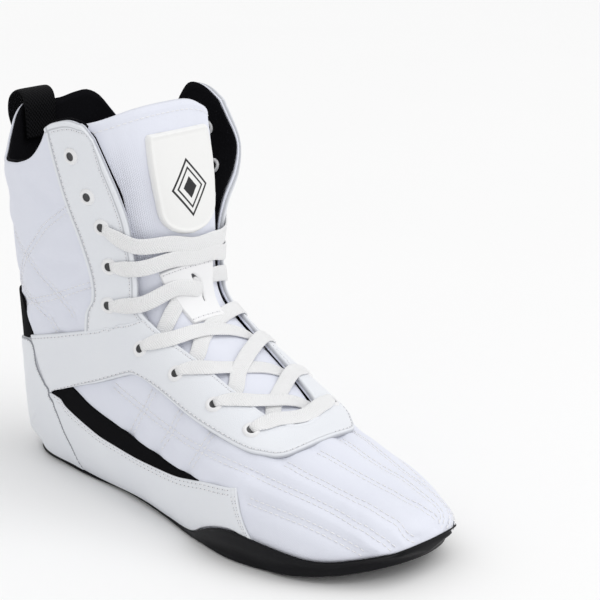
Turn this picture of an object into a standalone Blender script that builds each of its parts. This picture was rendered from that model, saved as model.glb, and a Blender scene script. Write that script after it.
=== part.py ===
"""High-top boxing shoe for the right foot: a stitched upper on a thin rubber cup sole.

All tables are in millimetres, measured on the last: x runs from the heel to the toe, y to the
medial side, z up from the floor. The upper is a fan of sections that starts at the toe, turns
about the instep and climbs the heel to the collar. Every overlay is cut from the same surface.
"""
from functools import lru_cache
from math import cos, pi, sin

import bmesh
import bpy
import numpy as np

MM = 0.001
ORIGIN_X = 132.0
ORIGIN_Y = 0.4

# Sole
LAST_LENGTH = 290.0
HEEL_REACH = 34.0
TOE_START = 228.0
TOE_REACH = 57.0
SOLE_LENGTH = TOE_START + TOE_REACH
TOE_ROUND = 2.1
TOE_SPRING = 10.5
TOE_SPRING_START = 218.0
ARCH_LIFT = 1.2
ARCH_MIDDLE = 118.0
ARCH_REACH = 45.0
HEEL_BEVEL = 1.2
HEEL_BEVEL_REACH = 12.0
FEATHER_INSET = 2.6
FEATHER_CLEAR = 0.5
EDGE_INSET = 3.0
EDGE_RISE = 1.4
INSOLE_THICKNESS = 3.5

# Walls and clearances
CLEAR = 0.3
WALL = 2.0
SEAT = 1.0
PATCH_SEAT = 0.65
LEATHER = 1.2
TONGUE_DROP = WALL + 1.0
TONGUE_PAD = 4.0

# Plan outline of the sole: distance from the heel, half width
OUTLINE_X = [HEEL_REACH, 60, 100, 140, 175, 205, TOE_START]
OUTLINE_HALF = [31.5, 33.0, 32.5, 38.5, 47.5, 52.0, 49.5]

# Curve of the last: distance from the heel, shift to the medial side
CENTRE_X = [0, 34, 60, 100, 140, 175, 205, 228, 255, 290]
CENTRE_Y = [0, -0.5, -1.5, -3.5, -4.0, -2.5, -1.5, -0.5, 2.0, 8.0]
CENTRE_FADE_START = 30.0
CENTRE_FADE = 60.0

# Thickness of the tread plate: distance from the heel, thickness
PLATE_X = [0, 50, 85, 140, 160, 180, 290]
PLATE_THICKNESS = [2.4, 2.4, 1.7, 1.7, 2.4, 3.8, 3.8]

# Height of the rubber wall above the feather line: distance from the heel, height
RIM_X = [0, 150, 166, 173, 180, 186, 192, 200, 210, 220, 232, 243, 250, 260, 270, 290]
RIM_HEIGHT = [0.4, 0.4, 0.4, 0.7, 4.2, 7.1, 9.6, 11.8, 12.8, 11.9, 10.3, 7.8, 5.8, 4.4, 4.4, 4.8]

# Faces of the rubber wall: distance from the heel, distance of each face from the upper
RIM_FACE_X = [0, 150, 180, 235, 262, 290]
RIM_INNER = [0.8, 0.8, 1.2, 1.1, 1.1, 1.1]
RIM_OUTER = [1.7, 1.7, 3.2, 2.6, 2.1, 2.0]

# Lines around the rubber wall, foot to top: part of its height, row of the fan at the toe
WALL_LINES = [(0.0, 3.0), (0.5, 2.44), (1.0, 1.95)]
WALL_HEEL = 16.06

# Sections of the upper, toe to collar. base: feather line, then the back seam. top: ridge of the
# vamp, then the front of the leg. widest: share of the section. arc, tuck: roundness above, below.
COLUMNS = ("base_x", "base_z", "top_x", "top_z", "base_half",
           "half", "widest", "arc", "gap", "tuck", "splay")
STATIONS = np.array([
    (281.2, 29.6, 281.0, 29.8, 0.0, 0.2, 0.50, 2.0, 0.0, 2.0, 0.0),
    (285.4, 24.5, 273.0, 35.6, 0.0, 14.0, 0.46, 2.1, 0.0, 2.1, 0.0),
    (286.8, 18.5, 264.0, 40.2, 0.0, 24.5, 0.42, 2.1, 0.0, 2.2, 0.0),
    (286.6, 13.8, 255.0, 43.8, 0.0, 30.5, 0.36, 2.1, 0.0, 2.2, 0.0),
    (280.0, 12.0, 247.0, 46.6, 19.0, 35.8, 0.32, 2.15, 0.0, 2.2, 0.0),
    (262.0, 8.6, 238.0, 49.8, 37.6, 44.2, 0.28, 2.2, 0.0, 2.2, 0.0),
    (240.0, 5.2, 227.0, 53.6, 45.4, 49.6, 0.24, 2.2, 0.0, 2.2, 0.0),
    (214.0, 4.1, 212.0, 58.8, 47.9, 51.4, 0.22, 2.3, 0.0, 2.2, 0.0),
    (196.0, 4.1, 196.5, 67.0, 47.6, 51.0, 0.22, 2.6, 17.0, 2.2, 0.0),
    (175.0, 4.1, 177.0, 77.0, 45.0, 48.6, 0.25, 2.8, 20.5, 2.2, 0.0),
    (148.0, 4.1, 157.0, 87.5, 37.5, 45.6, 0.30, 2.9, 23.0, 2.2, 0.0),
    (118.0, 4.1, 141.0, 96.5, 31.8, 44.0, 0.36, 2.8, 25.0, 2.2, 0.0),
    (86.0, 4.1, 131.0, 104.0, 30.2, 43.5, 0.40, 2.7, 27.0, 2.2, 0.0),
    (54.0, 4.1, 126.0, 110.0, 30.0, 43.0, 0.43, 2.6, 28.0, 2.2, 0.0),
    (26.0, 4.1, 124.0, 115.0, 28.2, 42.5, 0.45, 2.6, 29.0, 2.3, 0.0),
    (5.2, 4.1, 123.0, 120.0, 12.5, 42.5, 0.46, 2.6, 29.5, 2.35, 0.0),
    (1.6, 3.8, 122.8, 122.5, 0.0, 42.5, 0.46, 2.6, 29.8, 2.4, 0.0),
    (-1.5, 24.0, 122.5, 126.5, 0.0, 42.5, 0.46, 2.6, 30.0, 2.4, 0.0),
    (-3.0, 48.0, 122.0, 133.0, 0.0, 42.5, 0.46, 2.6, 29.8, 2.4, 0.0),
    (-4.0, 72.0, 121.5, 141.0, 0.0, 43.0, 0.47, 2.6, 30.4, 2.45, 0.5),
    (-5.0, 96.0, 121.0, 150.5, 0.0, 43.5, 0.47, 2.6, 31.3, 2.5, 1.8),
    (-7.0, 120.0, 120.0, 161.5, 0.0, 44.5, 0.47, 2.7, 32.8, 2.45, 8.2),
    (-10.0, 144.0, 118.0, 174.0, 0.0, 46.0, 0.47, 2.9, 35.8, 2.35, 21.0),
    (-12.5, 167.0, 115.0, 188.0, 0.0, 47.5, 0.47, 3.2, 39.6, 2.25, 25.5),
    (-14.0, 189.0, 111.0, 204.0, 0.0, 49.0, 0.47, 3.6, 43.6, 2.2, 14.5),
    (-15.0, 211.0, 107.0, 220.0, 0.0, 50.0, 0.47, 3.8, 46.5, 2.2, 3.5),
])
ROWS = np.arange(len(STATIONS))
LAST_ROW = len(STATIONS) - 1
TIP_ROW = 3
HEEL_ROW = 16
THROAT_ROW = 7.35
THROAT_ROUND = 0.9
GAP_FIRST_ROW = 8
COLLAR_START = 22.0
LATERAL = -1
MEDIAL = 1

# Collar line: share of the girth from the back seam to the throat edge, row of the fan
LATERAL_SHARE = [0.0, 0.07, 0.12, 0.17, 0.22, 0.30, 0.42, 0.52, 0.62, 0.70, 0.775, 0.84, 0.953, 0.984, 1.0]
LATERAL_COLLAR = [24.5, 24.45, 24.2, 23.75, 23.4, 23.25, 23.22, 23.26, 23.45, 23.85, 24.35,
                  24.5, 24.49, 24.35, 24.0]
MEDIAL_SHARE = [0.0, 0.13, 0.2, 0.26, 0.31, 0.36, 0.42, 0.50, 0.60, 0.70, 0.775, 0.84, 0.90, 0.96, 1.0]
MEDIAL_COLLAR = [24.5, 24.45, 24.55, 24.58, 24.4, 23.95, 23.45, 23.25, 23.4, 23.9, 24.5,
                 24.85, 24.88, 24.7, 24.4]

# Overlays. Each row is one rib: low edge (row, share), top edge (row, share), bow of the rib
COUNTER = [
    (12.88, 0.030, 12.94, 0.060, 0.00),
    (13.07, 0.030, 13.20, 0.130, 0.00),
    (13.35, 0.029, 13.72, 0.240, -0.02),
    (13.80, 0.029, 14.45, 0.338, -0.05),
    (14.40, 0.033, 15.35, 0.436, -0.05),
    (15.00, 0.047, 16.20, 0.450, 0.00),
    (15.50, 0.070, 17.20, 0.416, 0.00),
    (15.95, 0.092, 18.33, 0.360, 0.00),
    (16.15, 0.056, 18.62, 0.190, 0.00),
    (16.22, 0.000, 18.72, 0.000, 0.00),
]
FOXING = [
    (12.79, 0.032, 15.30, 0.438, -0.40),
    (11.95, 0.034, 14.02, 0.404, -0.15),
    (11.00, 0.036, 12.80, 0.360, 0.00),
    (10.20, 0.036, 11.74, 0.328, 0.00),
    (9.60, 0.036, 10.78, 0.314, 0.00),
    (9.20, 0.038, 9.74, 0.340, 0.00),
    (8.95, 0.060, 8.98, 0.372, 0.00),
    (8.62, 0.112, 8.66, 0.398, 0.00),
    (8.05, 0.168, 8.15, 0.426, 0.00),
    (7.30, 0.182, 7.68, 0.438, 0.00),
    (6.70, 0.176, 7.42, 0.434, 0.00),
]
STRIPE = [
    (15.05, 0.472, 14.30, 0.518, 0.00),
    (14.00, 0.416, 13.20, 0.488, 0.00),
    (12.80, 0.372, 12.05, 0.466, 0.00),
    (11.75, 0.340, 11.20, 0.438, 0.00),
    (10.80, 0.326, 10.45, 0.416, 0.00),
    (9.75, 0.352, 9.65, 0.396, 0.00),
    (9.10, 0.378, 9.11, 0.391, 0.00),
]
HEEL_STRIP = [
    (18.37, 0.408, 18.43, 0.405, 0.00),
    (18.43, 0.366, 19.10, 0.350, 0.00),
    (18.66, 0.230, 19.68, 0.300, 0.00),
    (18.78, 0.110, 20.00, 0.160, 0.00),
    (18.82, 0.000, 20.08, 0.000, 0.00),
]
ANKLE_STRAP = [
    (16.20, 0.474, 18.30, 0.385, 0.00),
    (14.60, 0.524, 17.85, 0.570, 0.00),
    (13.30, 0.634, 16.90, 0.785, 0.00),
    (12.40, 0.727, 15.20, 0.893, 0.00),
    (11.70, 0.766, 12.90, 1.000, 0.35),
    (10.80, 0.747, 11.30, 1.000, 0.00),
    (9.40, 0.712, 9.80, 1.000, 0.00),
    (8.40, 0.692, 8.60, 1.000, 0.00),
    (7.45, 0.662, 7.85, 1.000, 0.00),
    (7.00, 0.640, 7.62, 1.000, 0.00),
    (6.68, 0.700, 7.50, 1.000, 0.00),
    (6.50, 0.800, 7.42, 1.000, 0.00),
    (6.43, 0.900, 7.375, 1.000, 0.00),
    (6.42, 1.000, 7.345, 1.000, 0.00),
]
EYESTAY = [
    (17.30, 0.766, 13.40, 1.000, 0.86),
    (17.92, 0.766, 15.30, 1.000, 0.42),
    (18.32, 0.796, 17.20, 1.000, 0.10),
    (19.30, 0.804, 18.80, 1.000, 0.00),
    (20.70, 0.780, 20.40, 1.000, 0.00),
    (22.10, 0.758, 21.80, 1.000, 0.00),
    (23.30, 0.760, 23.00, 1.000, 0.08),
    (24.15, 0.768, 23.75, 1.000, 0.38),
]

# Eyelets, top to toe: row of the fan, share of the girth
EYELETS = [
    (23.51, 0.870), (22.19, 0.878), (21.05, 0.897), (19.37, 0.900), (17.55, 0.878),
    (12.45, 0.883), (10.57, 0.870), (9.17, 0.844), (7.99, 0.830),
]
EYELET_RADIUS = 4.6
EYELET_HOLE = 2.3
EYELET_HEIGHT = 0.9
EYELET_SIDES = 7
EYELET_SEAT = 0.5

# Lace, by eyelet number from the top: straight bars with their sag in rows and lift, and crossings
LACE_WIDTH = 7.5
LACE_THICKNESS = 1.2
STRAIGHT_BARS = {3: (2.1, 0.3), 4: (1.5, 0.3), 9: (0.2, 1.2)}
CROSSINGS = [5, 6, 7, 8]
LACE_DIVE = -1.5
LACE_END = 0.9
LACE_START = 6.2
LACE_TUCK = 4.0

# Tongue: row of the fan, width of each half
TONGUE_ROW = [6.9, 7.6, 9.0, 11.0, 13.0, 16.0, 19.0, 22.0, 24.9]
TONGUE_LATERAL = [12.0, 15.0, 24.5, 29.5, 33.0, 35.0, 36.0, 39.5, 43.5]
TONGUE_MEDIAL = [12.0, 15.0, 18.0, 21.0, 23.0, 25.0, 26.5, 28.5, 28.0]
TONGUE_CORNER = 0.55
KEEPER = {"rows": (12.5, 17.5), "half": (9.0, 18.0), "thickness": 0.8}
BADGE_ROW = [19.75, 20.0, 20.7, 22.2, 23.4, 23.9]
BADGE_HALF = [3.0, 12.0, 18.0, 21.5, 22.0, 20.5]
BADGE_THICKNESS = 2.6

# Pull loop at the back of the collar: side view of the webbing, from its foot to its end inside
LOOP_WIDTH = 22.0
LOOP_THICKNESS = 1.6
LOOP_PATH = [(-14.3, 172.0), (-15.6, 176.5), (-20.5, 184.0), (-24.0, 193.0), (-22.5, 202.0), (-16.0, 207.0),
             (-10.5, 205.5), (-8.2, 200.0), (-8.0, 190.0), (-7.6, 180.0)]


def curve(x, xs, ys):
    """Cubic through the rows (xs, ys) with central slopes, held beyond the ends."""
    xs = np.asarray(xs, float)
    ys = np.asarray(ys, float)
    slope = np.gradient(ys, xs)
    x = np.clip(np.asarray(x, float), xs[0], xs[-1])
    i = np.clip(np.searchsorted(xs, x, side="right") - 1, 0, len(xs) - 2)
    step = xs[i + 1] - xs[i]
    t = (x - xs[i]) / step
    start = (2 * t**3 - 3 * t**2 + 1) * ys[i] + (t**3 - 2 * t**2 + t) * step * slope[i]
    end = (3 * t**2 - 2 * t**3) * ys[i + 1] + (t**3 - t**2) * step * slope[i + 1]
    return start + end


def sole_half(x):
    """Half width of the sole: an ellipse at the heel, a table along the foot, a round toe."""
    x = np.asarray(x, float)
    heel = np.sqrt(np.clip(1 - ((HEEL_REACH - x) / HEEL_REACH)**2, 0, 1))
    toe = np.sqrt(1 - np.clip((x - TOE_START) / TOE_REACH, 0, 1)**TOE_ROUND)
    foot = curve(x, OUTLINE_X, OUTLINE_HALF)
    ends = np.where(x < HEEL_REACH, OUTLINE_HALF[0] * heel, OUTLINE_HALF[-1] * toe)
    return np.where((x < HEEL_REACH) | (x > TOE_START), ends, foot)


def sole_bottom(x):
    """Height of the tread: flat under heel and ball, lifted at the arch and the toe."""
    x = np.asarray(x, float)
    spring = TOE_SPRING * np.clip((x - TOE_SPRING_START) / (LAST_LENGTH - TOE_SPRING_START), 0, 1)**1.7
    arch = ARCH_LIFT * np.clip(1 - ((x - ARCH_MIDDLE) / ARCH_REACH)**2, 0, 1)**1.5
    heel = HEEL_BEVEL * np.clip(1 - x / HEEL_BEVEL_REACH, 0, 1)**2
    return spring + arch + heel


def plate_top(x):
    """Height of the tread plate's upper face."""
    return sole_bottom(x) + curve(x, PLATE_X, PLATE_THICKNESS)


def feather_height(x):
    """Height of the line where the upper meets the sole."""
    return plate_top(x) + FEATHER_CLEAR


def centre(x, z):
    """Sideways curve of the last, which fades out towards the leg."""
    return curve(x, CENTRE_X, CENTRE_Y) * (1 - np.clip((z - CENTRE_FADE_START) / CENTRE_FADE, 0, 1))


@lru_cache(maxsize=None)
def station(s):
    """The section at row s, read between the rows of the table."""
    row = {name: float(curve(s, ROWS, STATIONS[:, i])) for i, name in enumerate(COLUMNS)}
    on_sole = TIP_ROW < s < HEEL_ROW
    row["base_half"] = max(row["base_half"], 0.0) if on_sole else 0.0
    if TIP_ROW <= s <= HEEL_ROW:
        row["base_z"] = float(feather_height(row["base_x"]))
    opened = min(max((s - THROAT_ROW) / THROAT_ROUND, 0.0), 1.0)
    gap = float(curve(max(s, GAP_FIRST_ROW), ROWS[GAP_FIRST_ROW:], STATIONS[GAP_FIRST_ROW:, 8]))
    row["gap"] = gap * (1 - (1 - opened)**2)**0.5
    return row


@lru_cache(maxsize=None)
def half_section(s, side):
    """One side of a section, base to throat edge: two quarter superellipses, with their run."""
    row = station(s)
    tuck, arc, widest, half = row["tuck"], row["arc"], row["widest"], row["half"]
    below = widest / (1 - (row["base_half"] / half)**tuck)**(1 / tuck)
    first = -np.arcsin(min((widest / below)**(tuck / 2), 1.0))
    last = np.arccos(min(row["gap"] / half, 1.0)**(arc / 2))
    u = np.concatenate([np.linspace(first, 0, 60, endpoint=False), np.linspace(0, last, 60)])
    power = 2 / np.where(u < 0, tuck, arc)
    reach = np.abs(np.sin(u))**power
    share = np.where(u < 0, widest - below * reach, widest + (1 - widest) * reach)
    width = half * np.clip(np.cos(u), 0, 1)**power
    if side == MEDIAL:
        width = width + row["splay"] * np.clip((share - widest) / (1 - widest), 0, 1)**2
    x = row["base_x"] + share * (row["top_x"] - row["base_x"])
    z = row["base_z"] + share * (row["top_z"] - row["base_z"])
    points = np.stack([x, centre(x, z) + side * width, z], -1)
    run = np.concatenate([[0], np.cumsum(np.linalg.norm(np.diff(points, axis=0), axis=1))])
    return points, run / run[-1]


def surface(s, share, side):
    """Point of the upper's outer surface at row s and girth share."""
    points, run = half_section(round(float(s), 4), side)
    return np.array([np.interp(share, run, points[:, i]) for i in range(3)])


def outward(s, share, side):
    """Unit normal of the outer surface, by differences."""
    ds, dv = 0.05, 0.012
    along = surface(min(s + ds, LAST_ROW), share, side) - surface(max(s - ds, ds), share, side)
    around = surface(s, min(share + dv, 1), side) - surface(s, max(share - dv, 0), side)
    normal = np.cross(along, around) * side
    on_seam = (share <= 0 and s >= HEEL_ROW) or (share >= 1 and s <= THROAT_ROW)
    if on_seam:
        normal[1] = 0.0
    return normal / np.linalg.norm(normal)


def raised(s, share, side, lift):
    """Point at a height above the outer surface."""
    return surface(s, share, side) + lift * outward(s, share, side)


def beside(s, share, side, lift):
    """Point level with the outer surface, at a distance from it."""
    normal = outward(s, share, side) * (1, 1, 0)
    return surface(s, share, side) + lift * normal / np.linalg.norm(normal)


def lid(s, y):
    """Point of the closed section across the throat, where the tongue lies."""
    row = station(round(float(s), 4))
    rise = (1 - min(abs(y) / row["half"], 1.0)**row["arc"])**(1 / row["arc"])
    share = row["widest"] + (1 - row["widest"]) * rise
    x = row["base_x"] + share * (row["top_x"] - row["base_x"])
    z = row["base_z"] + share * (row["top_z"] - row["base_z"])
    return np.array([x, centre(x, z) + y, z])


def lid_normal(s, y):
    """Unit normal of the closed section, pointing out of the shoe."""
    ds, dy = 0.08, 1.0
    along = lid(min(s + ds, LAST_ROW), y) - lid(max(s - ds, THROAT_ROW - 1), y)
    across = lid(s, y + dy) - lid(s, y - dy)
    normal = np.cross(across, along)
    return normal / np.linalg.norm(normal)


def lid_raised(s, y, lift):
    return lid(s, y) + lift * lid_normal(s, y)


def finish(name, colour, roughness):
    """A Principled material with one colour."""
    material = bpy.data.materials.new(name)
    material.use_nodes = True
    shader = material.node_tree.nodes["Principled BSDF"]
    shader.inputs["Base Color"].default_value = (*colour, 1.0)
    shader.inputs["Roughness"].default_value = roughness
    return material


def make(name, points, faces, material):
    """One object from points in millimetres on the last, moved to the part's origin."""
    place = np.asarray(points, float) - (ORIGIN_X, ORIGIN_Y, 0.0)
    mesh = bpy.data.meshes.new(name)
    mesh.from_pydata((place * MM).tolist(), [], faces)
    work = bmesh.new()
    work.from_mesh(mesh)
    bmesh.ops.remove_doubles(work, verts=work.verts, dist=1e-6)
    bmesh.ops.recalc_face_normals(work, faces=work.faces)
    work.to_mesh(mesh)
    work.free()
    mesh.shade_smooth()
    mesh.materials.append(material)
    shape = bpy.data.objects.new(name, mesh)
    bpy.context.scene.collection.objects.link(shape)
    shape.parent = ROOT
    return shape


def grid_faces(rows, columns, first=0, flip=False):
    """Quads of a grid of points that is stored row by row."""
    faces = []
    for i in range(rows - 1):
        for j in range(columns - 1):
            a = first + i * columns + j
            quad = (a, a + 1, a + columns + 1, a + columns)
            faces.append(quad[::-1] if flip else quad)
    return faces


def slab(name, inner, outer, material):
    """A closed sheet between two grids of points, with a wall around its edge."""
    rows, columns = inner.shape[:2]
    count = rows * columns
    faces = grid_faces(rows, columns) + grid_faces(rows, columns, count, True)
    border = [j for j in range(columns)]
    border += [i * columns + columns - 1 for i in range(1, rows)]
    border += [(rows - 1) * columns + j for j in range(columns - 2, -1, -1)]
    border += [i * columns for i in range(rows - 2, 0, -1)]
    for a, b in zip(border, border[1:] + border[:1]):
        faces.append((b, a, a + count, b + count))
    points = np.concatenate([inner.reshape(-1, 3), outer.reshape(-1, 3)])
    return make(name, points, faces, material)


def ribs(table, along, across):
    """Rows and girth shares of an overlay: ribs between its low and top edges."""
    table = np.array(table)
    index = np.arange(len(table))
    j = np.linspace(0, len(table) - 1, along + 1)
    low_s, low_v, top_s, top_v, bow = [curve(j, index, table[:, i])[:, None] for i in range(5)]
    c = np.linspace(0, 1, across + 1)[None, :]
    s = low_s + (top_s - low_s) * c + 4 * c * (1 - c) * bow
    return s, np.clip(low_v + (top_v - low_v) * c, 0, 1)


def overlay_points(s, share, side, lift):
    return np.array([[raised(a, b, side, lift) for a, b in zip(*line)] for line in zip(s, share)])


def overlay(name, table, along, across, sides, material):
    """A leather piece on the upper. With two sides its last rib lies on the centre line."""
    s, share = ribs(table, along, across)
    layers = []
    for lift in (SEAT, SEAT + LEATHER):
        half = [overlay_points(s, share, side, lift) for side in sides]
        layers.append(half[0] if len(half) == 1 else np.concatenate([half[0], half[1][-2::-1]]))
    return slab(name, layers[0], layers[1], material)


def collar_row(share, side):
    """Row of the fan where the collar ends."""
    if side == MEDIAL:
        return curve(share, MEDIAL_SHARE, MEDIAL_COLLAR)
    return curve(share, LATERAL_SHARE, LATERAL_COLLAR)


def upper(material):
    """The whole upper as one wall: two half grids, joined at the vamp ridge and the back seam."""
    body = [0, 0.5, 1, 1.5, 2, 2.5, 3, 3.5, 4, 4.5, 5, 5.6, 6.2, 6.8, 7.35, 7.5, 7.8, 8.25]
    body += [8.8, 9.5, 10.2, 10.9, 11.6, 12.3, 13, 13.7, 14.4, 15, 15.6, 16]
    body += [16.5, 17.3, 18.2, 19.1, 20, 21, COLLAR_START]
    collar_steps = [0.3, 0.65, 1.0]
    shares = [0, 0.06, 0.12, 0.18, 0.26, 0.35, 0.44, 0.53, 0.62, 0.71, 0.80, 0.90, 1]
    points, faces = [], []
    for side in (LATERAL, MEDIAL):
        first = len(points)
        for s in body:
            points += [surface(s, v, side) for v in shares]
        for step in collar_steps:
            ends = [collar_row(v, side) for v in shares]
            points += [surface(COLLAR_START + (end - COLLAR_START) * step, v, side)
                       for end, v in zip(ends, shares)]
        pole = surface(0, 0.5, LATERAL)
        for j in range(len(shares)):
            points[first + j] = (pole[0], centre(pole[0], pole[2]), pole[2])
        faces += grid_faces(len(body) + len(collar_steps), len(shares), first, side == LATERAL)
    shape = make("upper", points, faces, material)
    wall = shape.modifiers.new("wall", "SOLIDIFY")
    wall.thickness = WALL * MM
    wall.offset = -1
    wall.use_even_offset = True
    return shape


def rim_contour(s, side, share_of_height):
    """Row and girth share where a section crosses the rubber wall's height."""
    points, run = half_section(round(float(s), 4), side)
    height = share_of_height * curve(points[:, 0], RIM_X, RIM_HEIGHT)
    above = points[:, 2] - feather_height(points[:, 0]) - height
    hit = int(np.argmax(above >= 0))
    if hit == 0:
        return 0.0
    part = -above[hit - 1] / (above[hit] - above[hit - 1])
    return float(run[hit - 1] + part * (run[hit] - run[hit - 1]))


def wall_line(side, part, tip, steps):
    """Rows and girth shares of a line around the rubber wall, at a part of its height."""
    rows = np.linspace(WALL_HEEL, tip, 200)
    reach = np.array([surface(s, rim_contour(s, side, part), side)[0] for s in rows])
    order = np.maximum.accumulate((reach - reach[0]) / (reach[-1] - reach[0]))
    return [(float(s), rim_contour(s, side, part)) for s in np.interp(steps, order, rows)]


def outline_point(x, side, inset, z):
    """Point of the sole's outline, moved in by an inset."""
    middle = SOLE_LENGTH / 2
    near = middle + (x - middle) * (1 - inset / middle)
    half = max(float(sole_half(x)) * (1 - inset / 45), 0.0)
    return (near, float(curve(x, CENTRE_X, CENTRE_Y)) + side * half, z)


def outsole(material):
    """Thin rubber cup: a tread plate with a wall that stands up around the ball and toe."""
    heel_to_toe = (1 - np.cos(np.linspace(0, pi, 34))) / 2
    names = ("tread", "edge", "foot_out", "top_out", "top_in", "middle_in", "foot_in")
    rings = {name: [] for name in names}
    for side in (LATERAL, MEDIAL):
        steps = heel_to_toe if side == LATERAL else heel_to_toe[-2:0:-1]
        lines = [wall_line(side, part, tip, steps) for part, tip in WALL_LINES]
        for step, foot, middle, top in zip(steps, *lines):
            x = SOLE_LENGTH * step
            low = float(sole_bottom(x))
            outer, inner = [float(curve(x, RIM_FACE_X, face)) for face in (RIM_OUTER, RIM_INNER)]
            wall = {"foot_out": beside(*foot, side, outer), "top_out": beside(*top, side, outer),
                    "top_in": beside(*top, side, inner), "middle_in": beside(*middle, side, inner),
                    "foot_in": beside(*foot, side, inner)}
            for name, point in wall.items():
                if step in (0.0, 1.0):
                    point[1] = float(curve(x, CENTRE_X, CENTRE_Y))
                if name.startswith("foot"):
                    point[2] = float(plate_top(x))
                rings[name].append(point)
            rings["tread"].append(outline_point(x, side, EDGE_INSET, low))
            rings["edge"].append(outline_point(x, side, 0.0, low + EDGE_RISE))
    count = len(rings["tread"])
    points = np.concatenate([np.array(ring) for ring in rings.values()])
    faces = []
    for band in range(len(rings) - 1):
        for i in range(count):
            a = band * count + i
            b = band * count + (i + 1) % count
            faces.append((a, b, b + count, a + count))
    toe = len(heel_to_toe) - 1
    for first in (0, (len(rings) - 1) * count):
        for i in range(toe):
            pair = [i, i + 1, count - i - 1, (count - i) % count]
            faces.append(tuple(dict.fromkeys(first + k for k in pair)))
    return make("outsole", points, faces, material)


def insole(material):
    """Flat foam sock that covers the plate inside the upper."""
    inset = FEATHER_INSET + WALL + 3.0
    steps = (1 - np.cos(np.linspace(0, pi, 25))) / 2
    layers = []
    for rise in (2 * CLEAR, 2 * CLEAR + INSOLE_THICKNESS):
        grid = []
        for step in steps[1:-1]:
            x = SOLE_LENGTH * step
            z = float(plate_top(x)) + rise
            grid.append([outline_point(x, side, inset, z) for side in (LATERAL, MEDIAL)])
        layers.append(np.array(grid))
    return slab("insole", layers[0], layers[1], material)


def tongue(material):
    """Padded tongue under the throat, from inside the vamp to above the collar."""
    rows = np.linspace(TONGUE_ROW[0], TONGUE_ROW[-1], 17)
    across = np.linspace(-1, 1, 8)
    layers = []
    for lift in (-TONGUE_DROP - TONGUE_PAD, -TONGUE_DROP):
        grid = []
        for s in rows:
            near, far = [float(curve(s, TONGUE_ROW, half)) for half in (TONGUE_LATERAL, TONGUE_MEDIAL)]
            rise = (s - rows[0]) / (rows[-1] - rows[0])
            line = [(s - TONGUE_CORNER * rise**8 * abs(c)**4, c * (near if c < 0 else far)) for c in across]
            grid.append([lid_raised(a, y, lift) for a, y in line])
        layers.append(np.array(grid))
    return slab("tongue", layers[0], layers[1], material)


def on_tongue(name, rows, halves, thickness, across, material):
    """A patch that lies on the tongue, of a half width at each row."""
    layers = []
    seat = PATCH_SEAT - TONGUE_DROP
    for lift in (seat, seat + thickness):
        layers.append(np.array([[lid_raised(s, c * half, lift) for c in np.linspace(-1, 1, across)]
                                for s, half in zip(rows, halves)]))
    return slab(name, layers[0], layers[1], material)


def eyelet(name, s, share, side, material):
    """Grommet flange on the eyestay, with its hole."""
    middle = surface(s, share, side)
    normal = outward(s, share, side)
    along = surface(s + 0.05, share, side) - surface(s - 0.05, share, side)
    first = along - normal * float(along @ normal)
    first = first / np.linalg.norm(first)
    second = np.cross(normal, first)
    seat = SEAT + LEATHER + EYELET_SEAT
    profile = [(EYELET_HOLE, seat), (EYELET_RADIUS, seat),
               (EYELET_RADIUS - 0.5, seat + EYELET_HEIGHT), (EYELET_HOLE + 0.5, seat + EYELET_HEIGHT)]
    points, faces = [], []
    for i in range(EYELET_SIDES):
        angle = 2 * pi * i / EYELET_SIDES
        spoke = cos(angle) * first + sin(angle) * second
        points += [middle + radius * spoke + height * normal for radius, height in profile]
    sides = len(profile)
    for i in range(EYELET_SIDES):
        for j in range(sides):
            a, b = i * sides + j, i * sides + (j + 1) % sides
            c = ((i + 1) % EYELET_SIDES) * sides
            faces.append((a, b, c + (j + 1) % sides, c + j))
    return make(name, points, faces, material)


def lace_path(start, end, side, over, sag=0.0):
    """Middle line and normals of one lace, from its eyelet over the throat edge to the far edge.

    A straight bar runs over both edges and sags between them. A crossing dives under the far edge.
    """
    s0, v0 = start
    s1, v1 = end
    far = -side
    gap0 = station(round(s0, 4))["gap"]
    gap1 = station(round(s1, 4))["gap"]
    toward = surface(s0 + (s1 - s0) * 0.15, 1.0, side) - surface(s0, v0, side)
    share = v0 + (1 - v0) * LACE_START / np.linalg.norm(toward)
    lift = SEAT + LEATHER + EYELET_SEAT + EYELET_HEIGHT + LACE_THICKNESS / 2 + 1.5 * CLEAR
    keys = [(raised(s0 + (s1 - s0) * 0.06, share, side, lift), outward(s0, share, side)),
            (raised(s0 + (s1 - s0) * 0.15, 1.0, side, lift), outward(s0, 0.97, side))]
    straight = start == end
    for part in (0.3, 0.5, 0.7):
        s = s0 + (s1 - s0) * part - sag * (1 - (2 * part - 1)**2)
        y = side * (gap0 + (gap1 - gap0) * part) * (1 - 2 * part)
        dive = min(over, 0.0) if part > 0.5 and not straight else over
        keys.append((lid_raised(s, y, dive), lid_normal(s, y)))
    if straight:
        toward = surface(s1, 1.0, far) - surface(s1, v1, far)
        share = v1 + (1 - v1) * LACE_START / np.linalg.norm(toward)
        keys.append((raised(s1, 1.0, far, lift), outward(s1, 0.97, far)))
        keys.append((raised(s1, share, far, lift), outward(s1, share, far)))
    else:
        y = far * (gap1 - LACE_TUCK)
        s = s0 + (s1 - s0) * LACE_END
        keys.append((lid_raised(s, y, LACE_DIVE), lid_normal(s, y)))
    points = np.array([k[0] for k in keys])
    normals = np.array([k[1] for k in keys])
    j = np.linspace(0, len(keys) - 1, 2 * (len(keys) - 1) + 1)
    index = np.arange(len(keys))
    path = np.stack([curve(j, index, points[:, i]) for i in range(3)], -1)
    up = np.stack([curve(j, index, normals[:, i]) for i in range(3)], -1)
    return path, up


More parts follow.
